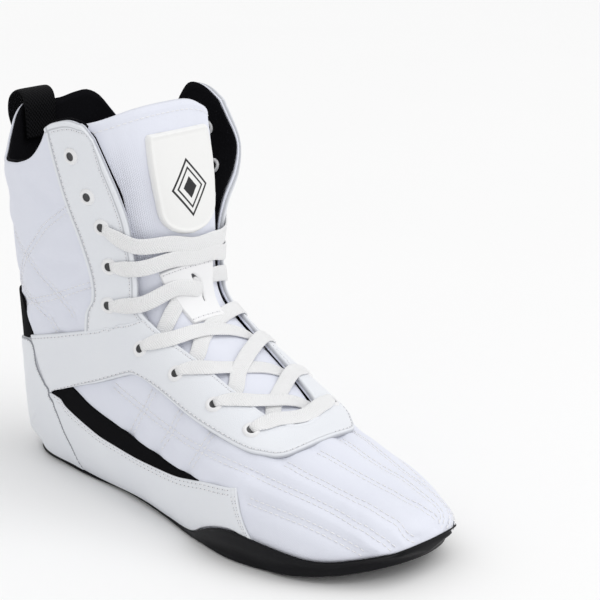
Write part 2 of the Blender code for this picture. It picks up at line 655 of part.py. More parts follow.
def lace(name, path, up, material):
    """Flat lace along a path: a rectangle carried along it."""
    along = np.gradient(path, axis=0)
    along = along / np.linalg.norm(along, axis=1)[:, None]
    across = np.cross(along, up)
    across = across / np.linalg.norm(across, axis=1)[:, None]
    normal = np.cross(across, along)
    half, thick = LACE_WIDTH / 2, LACE_THICKNESS / 2
    corners = [(-half, -thick), (half, -thick), (half, thick), (-half, thick)]
    points = np.concatenate([[p + a * w + n * h for w, h in corners]
                             for p, a, n in zip(path, across, normal)])
    faces = [(0, 1, 2, 3)]
    last = 4 * (len(path) - 1)
    faces.append((last + 3, last + 2, last + 1, last))
    for i in range(len(path) - 1):
        for j in range(4):
            a, b = 4 * i + j, 4 * i + (j + 1) % 4
            faces.append((a, a + 4, b + 4, b))
    return make(name, points, faces, material)


def crossing(number, material):
    """Two laces that cross on the tongue, fused into one solid."""
    start, end = EYELETS[number - 1], EYELETS[number]
    over = lace(f"lace_cross_{number}", *lace_path(start, end, LATERAL, 0.7), material)
    under = lace(f"lace_under_{number}", *lace_path(start, end, MEDIAL, -0.1), material)
    under.hide_render = True
    under.display_type = "WIRE"
    join = over.modifiers.new("join", "BOOLEAN")
    join.operation = "UNION"
    join.object = under


def pull_loop(material):
    """Webbing loop sewn over the back of the collar."""
    corners = np.array(LOOP_PATH)
    j = np.linspace(0, len(corners) - 1, 2 * len(corners) - 1)
    path = np.stack([curve(j, np.arange(len(corners)), corners[:, i]) for i in range(2)], -1)
    along = np.gradient(path, axis=0)
    along = along / np.linalg.norm(along, axis=1)[:, None]
    normal = np.stack([-along[:, 1], along[:, 0]], -1)
    layers = []
    for offset in (-LOOP_THICKNESS / 2, LOOP_THICKNESS / 2):
        edge = path + offset * normal
        layers.append(np.array([[(x, y, z) for y in (-LOOP_WIDTH / 2, LOOP_WIDTH / 2)]
                                for x, z in edge]))
    return slab("pull_loop", layers[0], layers[1], material)


for leftover in list(bpy.data.objects):
    bpy.data.objects.remove(leftover)
ROOT = bpy.data.objects.new("shoe", None)
bpy.context.scene.collection.objects.link(ROOT)

fabric = finish("white_fabric", (0.84, 0.84, 0.87), 0.75)
leather = finish("white_leather", (0.88, 0.88, 0.90), 0.45)
rubber = finish("black_rubber", (0.02, 0.02, 0.022), 0.5)
trim = finish("black_trim", (0.015, 0.015, 0.018), 0.7)
moulded = finish("white_moulded", (0.9, 0.9, 0.9), 0.4)
webbing = finish("white_webbing", (0.9, 0.9, 0.9), 0.85)

outsole(rubber)
insole(trim)
upper(fabric)
tongue(fabric)
overlay("heel_counter", COUNTER, 18, 5, (LATERAL, MEDIAL), leather)
overlay("heel_strip", HEEL_STRIP, 10, 1, (LATERAL, MEDIAL), trim)
overlay("ankle_strap", ANKLE_STRAP, 26, 4, (LATERAL, MEDIAL), leather)
for side, word in ((LATERAL, "lateral"), (MEDIAL, "medial")):
    overlay(f"foxing_{word}", FOXING, 18, 4, (side,), leather)
    overlay(f"stripe_{word}", STRIPE, 18, 1, (side,), trim)
    overlay(f"eyestay_{word}", EYESTAY, 14, 3, (side,), leather)
    for number, (row, share) in enumerate(EYELETS, 1):
        eyelet(f"eyelet_{word}_{number}", row, share, side, moulded)
keeper_rows = np.linspace(*KEEPER["rows"], 8)
keeper_halves = np.linspace(*KEEPER["half"], 8)
on_tongue("tongue_keeper", keeper_rows, keeper_halves, KEEPER["thickness"], 7, leather)
badge_rows = np.linspace(BADGE_ROW[0], BADGE_ROW[-1], 10)
on_tongue("badge", badge_rows, curve(badge_rows, BADGE_ROW, BADGE_HALF), BADGE_THICKNESS, 7, moulded)
for number, (sag, lift) in STRAIGHT_BARS.items():
    place = EYELETS[number - 1]
    lace(f"lace_bar_{number}", *lace_path(place, place, LATERAL, lift, sag), webbing)
for number in CROSSINGS:
    crossing(number, webbing)
pull_loop(trim)
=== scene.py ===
"""Finish of a high-top boxing shoe for the right foot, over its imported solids.

Shapes are worked out in millimetres on the last: x from the heel to the toe, y to the medial side,
z up from the floor. Row s counts the sections of the last from the toe to the collar, and share v
runs over each half section from the sole, or the back seam, to the throat.
"""

import bmesh
import bpy
import numpy as np
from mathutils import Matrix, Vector


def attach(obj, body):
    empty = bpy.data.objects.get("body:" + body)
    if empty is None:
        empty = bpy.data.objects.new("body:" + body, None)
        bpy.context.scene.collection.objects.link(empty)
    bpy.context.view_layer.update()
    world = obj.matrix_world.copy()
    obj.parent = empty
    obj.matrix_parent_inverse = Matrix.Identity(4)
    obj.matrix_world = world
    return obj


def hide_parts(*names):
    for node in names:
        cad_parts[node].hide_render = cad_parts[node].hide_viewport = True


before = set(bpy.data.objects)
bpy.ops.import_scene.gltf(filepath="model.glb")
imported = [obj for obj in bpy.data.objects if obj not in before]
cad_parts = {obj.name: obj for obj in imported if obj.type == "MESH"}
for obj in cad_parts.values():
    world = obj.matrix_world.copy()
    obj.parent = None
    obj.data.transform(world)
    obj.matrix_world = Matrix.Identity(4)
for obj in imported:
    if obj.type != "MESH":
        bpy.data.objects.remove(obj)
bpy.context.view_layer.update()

# Studio: a white paper floor under a bright even sky, a broad soft sun high on the medial side, and one
# weak soft box beyond the toe. The camera stands before the toe on the lateral side, with a long lens.
MM = 0.001
IMAGE_WIDTH = 600
FOCAL_PIXELS = 1890.8
SENSOR = 36.0
CAMERA_PLACE = Vector((719.1, -656.3, 425.4)) * MM
CAMERA_AIM = Vector((-209.0, 282.0, 0.0)) * MM
FLOOR_SIZE = 12.0
SKY = 0.78
LAMPS = {
    "sun": {"kind": "SUN", "place": (0.35, 0.3, 1.0), "energy": 0.82, "angle": 0.9},
    "beyond_toe": {"kind": "AREA", "place": (1.3, 0.3, 0.7), "energy": 1.5, "size": 0.9},
}
LAMP_AIM = (0, 0, 0.1)


def aimed(holder, place, aim):
    """Puts an object at a place with its -Z axis towards the aim and its Y axis upwards."""
    holder.location = place
    holder.rotation_euler = (Vector(aim) - Vector(place)).to_track_quat("-Z", "Y").to_euler()
    bpy.context.scene.collection.objects.link(holder)


lens = bpy.data.cameras.new("camera")
lens.sensor_width = SENSOR
lens.lens = FOCAL_PIXELS / IMAGE_WIDTH * SENSOR
camera = bpy.data.objects.new("camera", lens)
aimed(camera, CAMERA_PLACE, CAMERA_AIM)
bpy.context.scene.camera = camera
bpy.context.scene.view_settings.view_transform = "Standard"
for lamp_name, plan in LAMPS.items():
    lamp = bpy.data.lights.new(lamp_name, plan["kind"])
    lamp.energy = plan["energy"]
    if plan["kind"] == "SUN":
        lamp.angle = plan["angle"]
    else:
        lamp.size = plan["size"]
    aimed(bpy.data.objects.new(lamp_name, lamp), plan["place"], LAMP_AIM)
world = bpy.data.worlds.new("studio")
world.use_nodes = True
world.node_tree.nodes["Background"].inputs["Color"].default_value = (1, 1, 1, 1)
world.node_tree.nodes["Background"].inputs["Strength"].default_value = SKY
bpy.context.scene.world = world


class Wire:
    """One socket of a material. Sums of wires and numbers become Math nodes."""

    def __init__(self, tree, socket=None):
        self.tree = tree
        self.socket = socket

    def node(self, kind, settings=(), sockets=(), output=0):
        """Adds a node of any kind: its settings first, then the values or links of its sockets."""
        made = self.tree.nodes.new("ShaderNode" + kind)
        for name, value in dict(settings).items():
            setattr(made, name, value)
        for key, value in dict(sockets).items():
            if isinstance(value, Wire):
                self.tree.links.new(value.socket, made.inputs[key])
            else:
                made.inputs[key].default_value = value
        return Wire(self.tree, made.outputs[output])

    def maths(self, operation, *values):
        return self.node("Math", {"operation": operation}, dict(enumerate(values)))

    def __add__(self, other):
        return self.maths("ADD", self, other)

    def __sub__(self, other):
        return self.maths("SUBTRACT", self, other)

    def __rsub__(self, other):
        return self.maths("SUBTRACT", other, self)

    def __mul__(self, other):
        return self.maths("MULTIPLY", self, other)

    __radd__ = __add__
    __rmul__ = __mul__

    def sine(self):
        return self.maths("SINE", self)

    def size(self):
        return self.maths("ABSOLUTE", self)

    def chart(self):
        """The piece's own cloth map, in millimetres: across and along."""
        place = self.node("UVMap", {"uv_map": "Cloth"}, (), "UV")
        return [self.node("SeparateXYZ", (), {"Vector": place}, axis) for axis in "XY"]

    def mark(self, name):
        """A number stored on the piece's points."""
        return self.node("Attribute", {"attribute_name": name}, (), "Fac")

    def least(self, other):
        return self.maths("MINIMUM", self, other)

    def step(self, low, high):
        """0 below low and 1 above high, with a soft rise between them."""
        return self.node("MapRange", {"interpolation_type": "SMOOTHSTEP"},
                         {"Value": self, "From Min": low, "From Max": high})

    def tint(self, first, second):
        """A colour between two colours or wires, by this wire."""
        first, second = [end if isinstance(end, Wire) else (*end, 1) for end in (first, second)]
        return self.node("Mix", {"data_type": "RGBA"}, {0: self, 6: first, 7: second}, 2)

    def bump(self, distance, strength=1.0):
        """A normal from this wire as a height, where 1 stands for a distance in millimetres."""
        return self.node("Bump", (), {"Height": self, "Distance": distance * MM, "Strength": strength})


def finish(name, constants):
    """A Principled material with its constants on its own sockets, and a first wire in its tree."""
    made = bpy.data.materials.new(name)
    made.use_nodes = True
    shader = made.node_tree.nodes["Principled BSDF"]
    for socket, value in constants.items():
        shader.inputs[socket].default_value = value
    return made, Wire(made.node_tree)


def feed(made, links):
    """Links wires to the sockets of a finish that change over the surface."""
    shader = made.node_tree.nodes["Principled BSDF"]
    for socket, wire in links.items():
        made.node_tree.links.new(wire.socket, shader.inputs[socket])
    return made


def object_noise(wire, scale, detail=2.0):
    """Noise over Object coordinates, with a scale in features to the metre."""
    place = wire.node("TexCoord", (), (), "Object")
    return wire.node("TexNoise", (), {"Vector": place, "Scale": scale, "Detail": detail}, "Fac")


paper, wire = finish("floor_paper", {"Roughness": 0.9, "Specular IOR Level": 0.1})
feed(paper, {"Base Color": object_noise(wire, 3.0).tint((0.93, 0.93, 0.93), (0.95, 0.95, 0.95))})
floor_mesh = bpy.data.meshes.new("floor")
reach = FLOOR_SIZE / 2
floor_mesh.from_pydata([(-reach, -reach, 0), (reach, -reach, 0), (reach, reach, 0), (-reach, reach, 0)],
                       [], [(0, 1, 2, 3)])
floor_mesh.materials.append(paper)
floor = bpy.data.objects.new("floor", floor_mesh)
bpy.context.scene.collection.objects.link(floor)

# Upper: one wall of white nylon cloth over thin foam, quilted with double rows of lockstitch, cut
# and sewn at the back seam, and pulled over the last, which the sections below describe.
ORIGIN = (132.0, 0.4, 0.0)
LAST_LENGTH = 290.0
PLATE_X = [0, 50, 85, 140, 160, 180, 290]
PLATE_THICKNESS = [2.4, 2.4, 1.7, 1.7, 2.4, 3.8, 3.8]
FEATHER_CLEAR = 0.5
TOE_SPRING = 10.5
TOE_SPRING_START = 218.0
ARCH_LIFT = 1.2
ARCH_MIDDLE = 118.0
ARCH_REACH = 45.0
HEEL_BEVEL = 1.2
HEEL_BEVEL_REACH = 12.0
CENTRE_X = [0, 34, 60, 100, 140, 175, 205, 228, 255, 290]
CENTRE_Y = [0, -0.5, -1.5, -3.5, -4.0, -2.5, -1.5, -0.5, 2.0, 8.0]
CENTRE_FADE_START = 30.0
CENTRE_FADE = 60.0
COLUMNS = ("base_x", "base_z", "top_x", "top_z", "base_half",
           "half", "widest", "arc", "gap", "tuck", "splay")
STATIONS = np.array([
    (281.2, 29.6, 281.0, 29.8, 0.0, 0.2, 0.50, 2.0, 0.0, 2.0, 0.0),
    (285.4, 24.5, 273.0, 35.6, 0.0, 14.0, 0.46, 2.1, 0.0, 2.1, 0.0),
    (286.8, 18.5, 264.0, 40.2, 0.0, 24.5, 0.42, 2.1, 0.0, 2.2, 0.0),
    (286.6, 13.8, 255.0, 43.8, 0.0, 30.5, 0.36, 2.1, 0.0, 2.2, 0.0),
    (280.0, 12.0, 247.0, 46.6, 19.0, 35.8, 0.32, 2.15, 0.0, 2.2, 0.0),
    (262.0, 8.6, 238.0, 49.8, 37.6, 44.2, 0.28, 2.2, 0.0, 2.2, 0.0),
    (240.0, 5.2, 227.0, 53.6, 45.4, 49.6, 0.24, 2.2, 0.0, 2.2, 0.0),
    (214.0, 4.1, 212.0, 58.8, 47.9, 51.4, 0.22, 2.3, 0.0, 2.2, 0.0),
    (196.0, 4.1, 196.5, 67.0, 47.6, 51.0, 0.22, 2.6, 17.0, 2.2, 0.0),
    (175.0, 4.1, 177.0, 77.0, 45.0, 48.6, 0.25, 2.8, 20.5, 2.2, 0.0),
    (148.0, 4.1, 157.0, 87.5, 37.5, 45.6, 0.30, 2.9, 23.0, 2.2, 0.0),
    (118.0, 4.1, 141.0, 96.5, 31.8, 44.0, 0.36, 2.8, 25.0, 2.2, 0.0),
    (86.0, 4.1, 131.0, 104.0, 30.2, 43.5, 0.40, 2.7, 27.0, 2.2, 0.0),
    (54.0, 4.1, 126.0, 110.0, 30.0, 43.0, 0.43, 2.6, 28.0, 2.2, 0.0),
    (26.0, 4.1, 124.0, 115.0, 28.2, 42.5, 0.45, 2.6, 29.0, 2.3, 0.0),
    (5.2, 4.1, 123.0, 120.0, 12.5, 42.5, 0.46, 2.6, 29.5, 2.35, 0.0),
    (1.6, 3.8, 122.8, 122.5, 0.0, 42.5, 0.46, 2.6, 29.8, 2.4, 0.0),
    (-1.5, 24.0, 122.5, 126.5, 0.0, 42.5, 0.46, 2.6, 30.0, 2.4, 0.0),
    (-3.0, 48.0, 122.0, 133.0, 0.0, 42.5, 0.46, 2.6, 29.8, 2.4, 0.0),
    (-4.0, 72.0, 121.5, 141.0, 0.0, 43.0, 0.47, 2.6, 30.4, 2.45, 0.5),
    (-5.0, 96.0, 121.0, 150.5, 0.0, 43.5, 0.47, 2.6, 31.3, 2.5, 1.8),
    (-7.0, 120.0, 120.0, 161.5, 0.0, 44.5, 0.47, 2.7, 32.8, 2.45, 8.2),
    (-10.0, 144.0, 118.0, 174.0, 0.0, 46.0, 0.47, 2.9, 35.8, 2.35, 21.0),
    (-12.5, 167.0, 115.0, 188.0, 0.0, 47.5, 0.47, 3.2, 39.6, 2.25, 25.5),
    (-14.0, 189.0, 111.0, 204.0, 0.0, 49.0, 0.47, 3.6, 43.6, 2.2, 14.5),
    (-15.0, 211.0, 107.0, 220.0, 0.0, 50.0, 0.47, 3.8, 46.5, 2.2, 3.5),
])
ROWS = np.arange(len(STATIONS))
LAST_ROW = len(STATIONS) - 1
TIP_ROW = 3
HEEL_ROW = 16
THROAT_ROW = 7.35
THROAT_ROUND = 0.9
GAP_FIRST_ROW = 8
COLLAR_START = 22.0
LATERAL = -1
MEDIAL = 1
LATERAL_SHARE = [0.0, 0.07, 0.12, 0.17, 0.22, 0.30, 0.42, 0.52, 0.62, 0.70, 0.775, 0.84, 0.953, 0.984, 1.0]
LATERAL_COLLAR = [24.5, 24.45, 24.2, 23.75, 23.4, 23.25, 23.22, 23.26, 23.45, 23.85, 24.35,
                  24.5, 24.49, 24.35, 24.0]
MEDIAL_SHARE = [0.0, 0.13, 0.2, 0.26, 0.31, 0.36, 0.42, 0.50, 0.60, 0.70, 0.775, 0.84, 0.90, 0.96, 1.0]
MEDIAL_COLLAR = [24.5, 24.45, 24.55, 24.58, 24.4, 23.95, 23.45, 23.25, 23.4, 23.9, 24.5,
                 24.85, 24.88, 24.7, 24.4]
CLOTH_WALL = 1.2
FAN = np.linspace(0, LAST_ROW, 40 * LAST_ROW + 1)
GIRTH = np.linspace(0, 1, 361)
SIDE_LENGTH = 200.0
# Steps for differences on the last, and the first row that they reach
SMALL_ROW = 0.05
SMALL_SHARE = 0.012
FIRST_ROW = 0.02

# Quilting lines: row and share of their knots, from the leg or the throat towards the toe
SHAFT_AND_QUARTER = [
    [(21.9, 0.601), (21.6, 0.527), (21.35, 0.459), (21, 0.399), (20.7, 0.329), (20.4, 0.273),
     (19.8, 0.194)],
    [(22.6, 0.077), (21.9, 0.157), (21.3, 0.238), (20.7, 0.321), (20.2, 0.385), (19.1, 0.493),
     (17.9, 0.568)],
    [(19.45, 0.268), (19.2, 0.424), (19.1, 0.506), (19, 0.598), (18.9, 0.662)],
    [(20.3, 0.201), (19.6, 0.298), (19.1, 0.367), (18.5, 0.428), (17.7, 0.486)],
    [(11.05, 0.586), (11.1, 0.513), (11.2, 0.454), (11.35, 0.35)],
    [(9.95, 0.571), (10.05, 0.487), (10.1, 0.444), (10.35, 0.351)],
    [(8.85, 0.564), (9, 0.456), (9.1, 0.41), (9.3, 0.337)],
]
VAMP = {
    LATERAL: [
        [(12.66, 0.518), (11.14, 0.483), (10, 0.461), (9.02, 0.459), (8.05, 0.481), (7.09, 0.511),
         (6.17, 0.522), (5.04, 0.53), (4.02, 0.555), (2.86, 0.573), (2.17, 0.441), (2.45, 0.307)],
        [(6.98, 0.355), (6.11, 0.362), (5.13, 0.355), (4.44, 0.338), (4.02, 0.287), (4, 0.205)],
        [(6.57, 0.673), (5.52, 0.681), (4.28, 0.713), (2.92, 0.765), (1.66, 0.7), (0.96, 0.509),
         (1.66, 0.146)],
        [(6.19, 0.895), (5.13, 0.926), (3.56, 0.965), (2.07, 1.008), (0.96, 1.115), (0.5, 1.5), (1.3, 1.83)],
    ],
    MEDIAL: [
        [(13, 0.525), (11.8, 0.486), (10.4, 0.459), (9, 0.456), (7.9, 0.46), (7, 0.5), (5.8, 0.49),
         (4.8, 0.49), (3.9, 0.46), (3.4, 0.38), (3.2, 0.2)],
        [(7.2, 0.35), (6.1, 0.34), (5.3, 0.31), (4.8, 0.2)],
        [(6.9, 0.66), (5.8, 0.66), (4.8, 0.66), (3.6, 0.65), (2.6, 0.58), (2.3, 0.44), (2.3, 0.2)],
        [(6.4, 0.86), (5.4, 0.85), (4.4, 0.83), (3.2, 0.8), (1.8, 0.71), (1.3, 0.5), (1.5, 0.17)],
    ],
}
QUILT_DROP = 1.0
QUILT_PUFF = 0.4
QUILT_FLAT = 1.6
QUILT_SLOPE = 7.0
TIP_FLAT = 1.0
# Above the feather line the cloth is stretched flat, then its relief fades in
LASTED = {"flat": 3.0, "fade": 6.0}
# At the throat and the collar the relief fades out over this share and these rows
CLOTH_EDGE = {"share": 0.05, "rows": 0.25}

# Wear creases: the two ends (row, share), half width, depth
CREASES = [
    ((20.4, 0.55), (19.9, 0.74), 4.0, 0.9),
    ((18.7, 0.42), (18.4, 0.66), 3.5, 0.7),
    ((22.4, 0.30), (21.6, 0.12), 5.0, 1.0),
    ((22.9, 0.56), (21.9, 0.70), 5.0, 0.7),
    ((8.2, 0.44), (7.6, 0.64), 5.0, 0.6),
    ((7.1, 0.56), (6.5, 0.86), 5.5, 0.6),
]


def to_frame(points):
    """Millimetres on the last to metres in the model's frame."""
    return (points - ORIGIN) * MM


def curve(x, xs, ys):
    """Cubic through the rows (xs, ys) with central slopes, held beyond the ends."""
    xs = np.asarray(xs, float)
    ys = np.asarray(ys, float)
    slope = np.gradient(ys, xs)
    x = np.clip(np.asarray(x, float), xs[0], xs[-1])
    i = np.clip(np.searchsorted(xs, x, side="right") - 1, 0, len(xs) - 2)
    step = xs[i + 1] - xs[i]
    t = (x - xs[i]) / step
    start = (2 * t**3 - 3 * t**2 + 1) * ys[i] + (t**3 - 2 * t**2 + t) * step * slope[i]
    end = (3 * t**2 - 2 * t**3) * ys[i + 1] + (t**3 - t**2) * step * slope[i + 1]
    return start + end


def through(knots, count):
    """Points on the curve through some knots, by an even count over their index."""
    knots = np.array(knots, float)
    index = np.linspace(0, len(knots) - 1, count)
    return np.stack([curve(index, np.arange(len(knots)), column) for column in knots.T], -1)


def sole_bottom(x):
    """Height of the tread: flat under heel and ball, lifted at the arch and the toe."""
    spring = TOE_SPRING * np.clip((x - TOE_SPRING_START) / (LAST_LENGTH - TOE_SPRING_START), 0, 1)**1.7
    arch = ARCH_LIFT * np.clip(1 - ((x - ARCH_MIDDLE) / ARCH_REACH)**2, 0, 1)**1.5
    heel = HEEL_BEVEL * np.clip(1 - x / HEEL_BEVEL_REACH, 0, 1)**2
    return spring + arch + heel


def plate_top(x):
    """Height of the tread plate's upper face."""
    return sole_bottom(x) + curve(x, PLATE_X, PLATE_THICKNESS)


def feather_height(x):
    """Height of the line where the upper meets the sole."""
    return plate_top(x) + FEATHER_CLEAR


def centre(x, z):
    """Sideways curve of the last, which fades out towards the leg."""
    return curve(x, CENTRE_X, CENTRE_Y) * (1 - np.clip((z - CENTRE_FADE_START) / CENTRE_FADE, 0, 1))


def stations(s):
    """The sections at rows s, read between the rows of the table; the throat opens with a round end."""
    s = np.asarray(s, float)
    row = {name: curve(s, ROWS, STATIONS[:, i]) for i, name in enumerate(COLUMNS)}
    on_sole = (s >= TIP_ROW) & (s <= HEEL_ROW)
    row["base_half"] = np.where((s > TIP_ROW) & (s < HEEL_ROW), np.maximum(row["base_half"], 0), 0)
    row["base_z"] = np.where(on_sole, feather_height(row["base_x"]), row["base_z"])
    opened = np.clip((s - THROAT_ROW) / THROAT_ROUND, 0, 1)
    gap = curve(np.maximum(s, GAP_FIRST_ROW), ROWS[GAP_FIRST_ROW:], STATIONS[GAP_FIRST_ROW:, 8])
    row["gap"] = gap * np.sqrt(1 - (1 - opened)**2)
    return row


def run_along(points, axis=0):
    """Distance run along a line of points, or the lines of a grid, from the first point."""
    step = np.linalg.norm(np.diff(points, axis=axis), axis=-1)
    return np.cumsum(np.insert(step, 0, 0, axis), axis)


def read_line(at, run, points):
    """Points of a line at some distances along it."""
    return np.stack([np.interp(at, run, column) for column in points.T], -1)


def read_along(want, key, *fields):
    """Reads each row of some fields where its rising key has the wanted value."""
    apart = (key.max() + 1.0) * 2 * np.arange(len(key))[:, None]
    keys = (key + apart).ravel()
    wants = (want + apart).ravel()
    shape = np.broadcast_shapes(np.shape(want), (len(key), 1))
    return [np.interp(wants, keys, field.ravel()).reshape(shape) for field in fields]


def fan(side, opened):
    """One side of every section: two quarter superellipses from base to throat edge, and its girths."""
    row = {name: value[:, None] for name, value in stations(FAN).items()}
    tuck, arc, widest, half = row["tuck"], row["arc"], row["widest"], row["half"]
    below = widest / (1 - (row["base_half"] / half)**tuck)**(1 / tuck)
    first = -np.arcsin(np.minimum((widest / below)**(tuck / 2), 1))
    last = np.arccos(np.minimum(opened * row["gap"] / half, 1)**(arc / 2))
    t = np.linspace(0, 1, 160)[None, :]
    u = np.concatenate([first * (1 - t[:, :-1]), last * t], 1)
    power = 2 / np.where(u < 0, tuck, arc)
    rise = np.abs(np.sin(u))**power
    share = np.where(u < 0, widest - below * rise, widest + (1 - widest) * rise)
    width = half * np.clip(np.cos(u), 0, 1)**power
    if side == MEDIAL:
        width = width + row["splay"] * np.clip((share - widest) / (1 - widest), 0, 1)**2
    x = row["base_x"] + share * (row["top_x"] - row["base_x"])
    z = row["base_z"] + share * (row["top_z"] - row["base_z"])
    points = np.stack([x, centre(x, z) + side * width, z], -1)
    return points, run_along(points, 1)


def fan_grid(side):
    """The sections of one side, read at even shares of their girth."""
    points, run = fan(side, 1)
    girth = np.repeat(GIRTH[None, :], len(FAN), 0)
    return np.stack(read_along(girth, run / run[:, -1:], *np.moveaxis(points, -1, 0)), -1)


SIDES = np.stack([fan_grid(LATERAL), fan_grid(MEDIAL)])
KEPT = fan(LATERAL, 1)[1][:, -1] / fan(LATERAL, 0)[1][:, -1]


def open_share(s, share):
    """Share of an open section for a share of the closed one, which the throat's edge cuts short."""
    return np.minimum(share / np.interp(s, FAN, KEPT), np.where(s > THROAT_ROW, 1, 2))


def skin(s, v, side):
    """Outer surface of the last, a bilinear reading of the fan, folded over the seams and the ridge.

    Below the feather line it drops straight down.
    """
    s, v, side = np.broadcast_arrays(np.asarray(s, float), np.asarray(v, float), side)
    low = (v < 0) & ((s >= HEEL_ROW) | (s <= TIP_ROW))
    top = (v > 1) & (s <= THROAT_ROW)
    v = np.where(low, -v, np.where(top, 2 - v, v))
    which = (np.where(low | top, -side, side) > 0).astype(int)
    a = np.clip(s / FAN[1], 0, len(FAN) - 1.001)
    b = np.clip(v / GIRTH[1], 0, len(GIRTH) - 1.001)
    i, j = a.astype(int), b.astype(int)
    p, q = (a - i)[..., None], (b - j)[..., None]
    near = (1 - q) * SIDES[which, i, j] + q * SIDES[which, i, j + 1]
    far = (1 - q) * SIDES[which, i + 1, j] + q * SIDES[which, i + 1, j + 1]
    drop = np.minimum(v, 0) * SIDE_LENGTH
    return (1 - p) * near + p * far + drop[..., None] * (0, 0, 1)


def unit(vectors):
    return vectors / np.maximum(np.linalg.norm(vectors, axis=-1, keepdims=True), 1e-9)


def turns(count):
    """Even angles round a circle."""
    return 2 * np.pi * np.arange(count) / count


def oblong(count, flat, thick):
    """A rounded oblong of half width and half height 1, squared off by two powers."""
    c, s = np.cos(turns(count)), np.sin(turns(count))
    return np.sign(c) * np.abs(c)**flat, np.sign(s) * np.abs(s)**thick


def blend(ends, share):
    """The value at a share of the way between two."""
    return ends[0] + (ends[1] - ends[0]) * share


def share_of(ends, value):
    """The share of the way between two ends where a value lies, held between 0 and 1."""
    return np.clip((value - ends[0]) / (ends[1] - ends[0]), 0, 1)


def outward(s, v, side):
    """Unit normal of the last, from differences over a small step each way."""
    before = np.maximum(np.subtract(s, SMALL_ROW), FIRST_ROW)
    along = skin(np.add(s, SMALL_ROW), v, side) - skin(before, v, side)
    around = skin(s, np.add(v, SMALL_SHARE), side) - skin(s, np.subtract(v, SMALL_SHARE), side)
    return unit(np.cross(along, around) * np.asarray(side)[..., None])


def raised(s, v, side, lift):
    """Points at a height above the last."""
    return skin(s, v, side) + np.asarray(lift)[..., None] * outward(s, v, side)


def collar_row(v, side):
    """Row of the fan where the collar ends."""
    if side == MEDIAL:
        return curve(v, MEDIAL_SHARE, MEDIAL_COLLAR)
    return curve(v, LATERAL_SHARE, LATERAL_COLLAR)


def quads(rows, columns, first=0, ring=False):
    """Faces of a grid of points that is stored row by row, closed over its columns for a ring."""
    i = np.arange(rows - 1)[:, None] * columns
    j = np.arange(columns if ring else columns - 1)[None, :]
    k = (j + 1) % columns
    return first + np.stack([i + j, i + k, i + k + columns, i + j + columns], -1).reshape(-1, 4)


def shell_faces(rows, columns):
    """Faces of two grids of one size that meet at welded borders, the second one turned over."""
    return np.concatenate([quads(rows, columns), quads(rows, columns, rows * columns)[:, ::-1]])


def tube_faces(rows, columns, first=0):
    """Faces of a tube of rings, with closed ends."""
    last = first + (rows - 1) * columns
    caps = [list(range(first, first + columns))[::-1], list(range(last, last + columns))]
    return quads(rows, columns, first, True).tolist() + caps


def piece(name, points, faces, made, nodes=(), cloth=None, marks=None):
    """One mesh at the origin from points on the last: welded, turned outwards and shaded smooth."""
    mesh = bpy.data.meshes.new(name)
    mesh.from_pydata(to_frame(points.reshape(-1, 3)).tolist(), [], [list(face) for face in faces])
    if cloth is not None:
        corner = np.empty(len(mesh.loops), int)
        mesh.loops.foreach_get("vertex_index", corner)
        layer = mesh.uv_layers.new(name="Cloth")
        layer.uv.foreach_set("vector", cloth.reshape(-1, 2)[corner].astype(np.float32).ravel())
    for mark, values in (marks or {}).items():
        mesh.attributes.new(mark, "FLOAT", "POINT").data.foreach_set("value", values.ravel())
    work = bmesh.new()
    work.from_mesh(mesh)
    bmesh.ops.remove_doubles(work, verts=work.verts, dist=1e-6)
    bmesh.ops.recalc_face_normals(work, faces=work.faces)
    if work.calc_volume(signed=True) < 0:
        bmesh.ops.reverse_faces(work, faces=work.faces)
    work.to_mesh(mesh)
    work.free()
    mesh.shade_smooth()
    mesh.materials.append(made)
    shape = bpy.data.objects.new(name, mesh)
    bpy.context.scene.collection.objects.link(shape)
    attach(shape, "root")
    if nodes:
        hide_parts(*nodes)
    return shape


def walled(shape, thickness):
    """Gives an open sheet its wall, inwards."""
    wall = shape.modifiers.new("wall", "SOLIDIFY")
    wall.thickness = thickness * MM
    wall.offset = -1
    return shape


def upper_grid(rows, columns, top_rows, beyond=0.0):
    """Rows and shares of one side of the upper: even rows of the fan, then rows that fit the collar."""
    v = np.linspace(0, 1, columns)[None, :]
    body = np.linspace(0, COLLAR_START, rows)[:, None]
    part = np.linspace(0, 1, top_rows)[1:, None]
    ends = {side: COLLAR_START + part * (collar_row(v, side) + beyond - COLLAR_START)
            for side in (LATERAL, MEDIAL)}
    grids = {side: np.concatenate([np.repeat(body, columns, 1), ends[side]]) for side in ends}
    return grids, np.repeat(v, rows + top_rows - 1, 0)


def to_nearest(points, targets):
    """Distance from each point to the nearest target, from |p|2 - 2 p.q + |q|2 in blocks."""
    square = (targets**2).sum(1)
    blocks = [((p**2).sum(1)[:, None] - 2 * p @ targets.T + square).min(1)
              for p in np.array_split(points.reshape(-1, 3), 24)]
    return np.sqrt(np.maximum(np.concatenate(blocks), 0)).reshape(points.shape[:-1])


def quilt_line(knots):
    """Rows and shares of 160 points on a quilting line."""
    s, share = through(knots, 160).T
    return s, open_share(s, share)


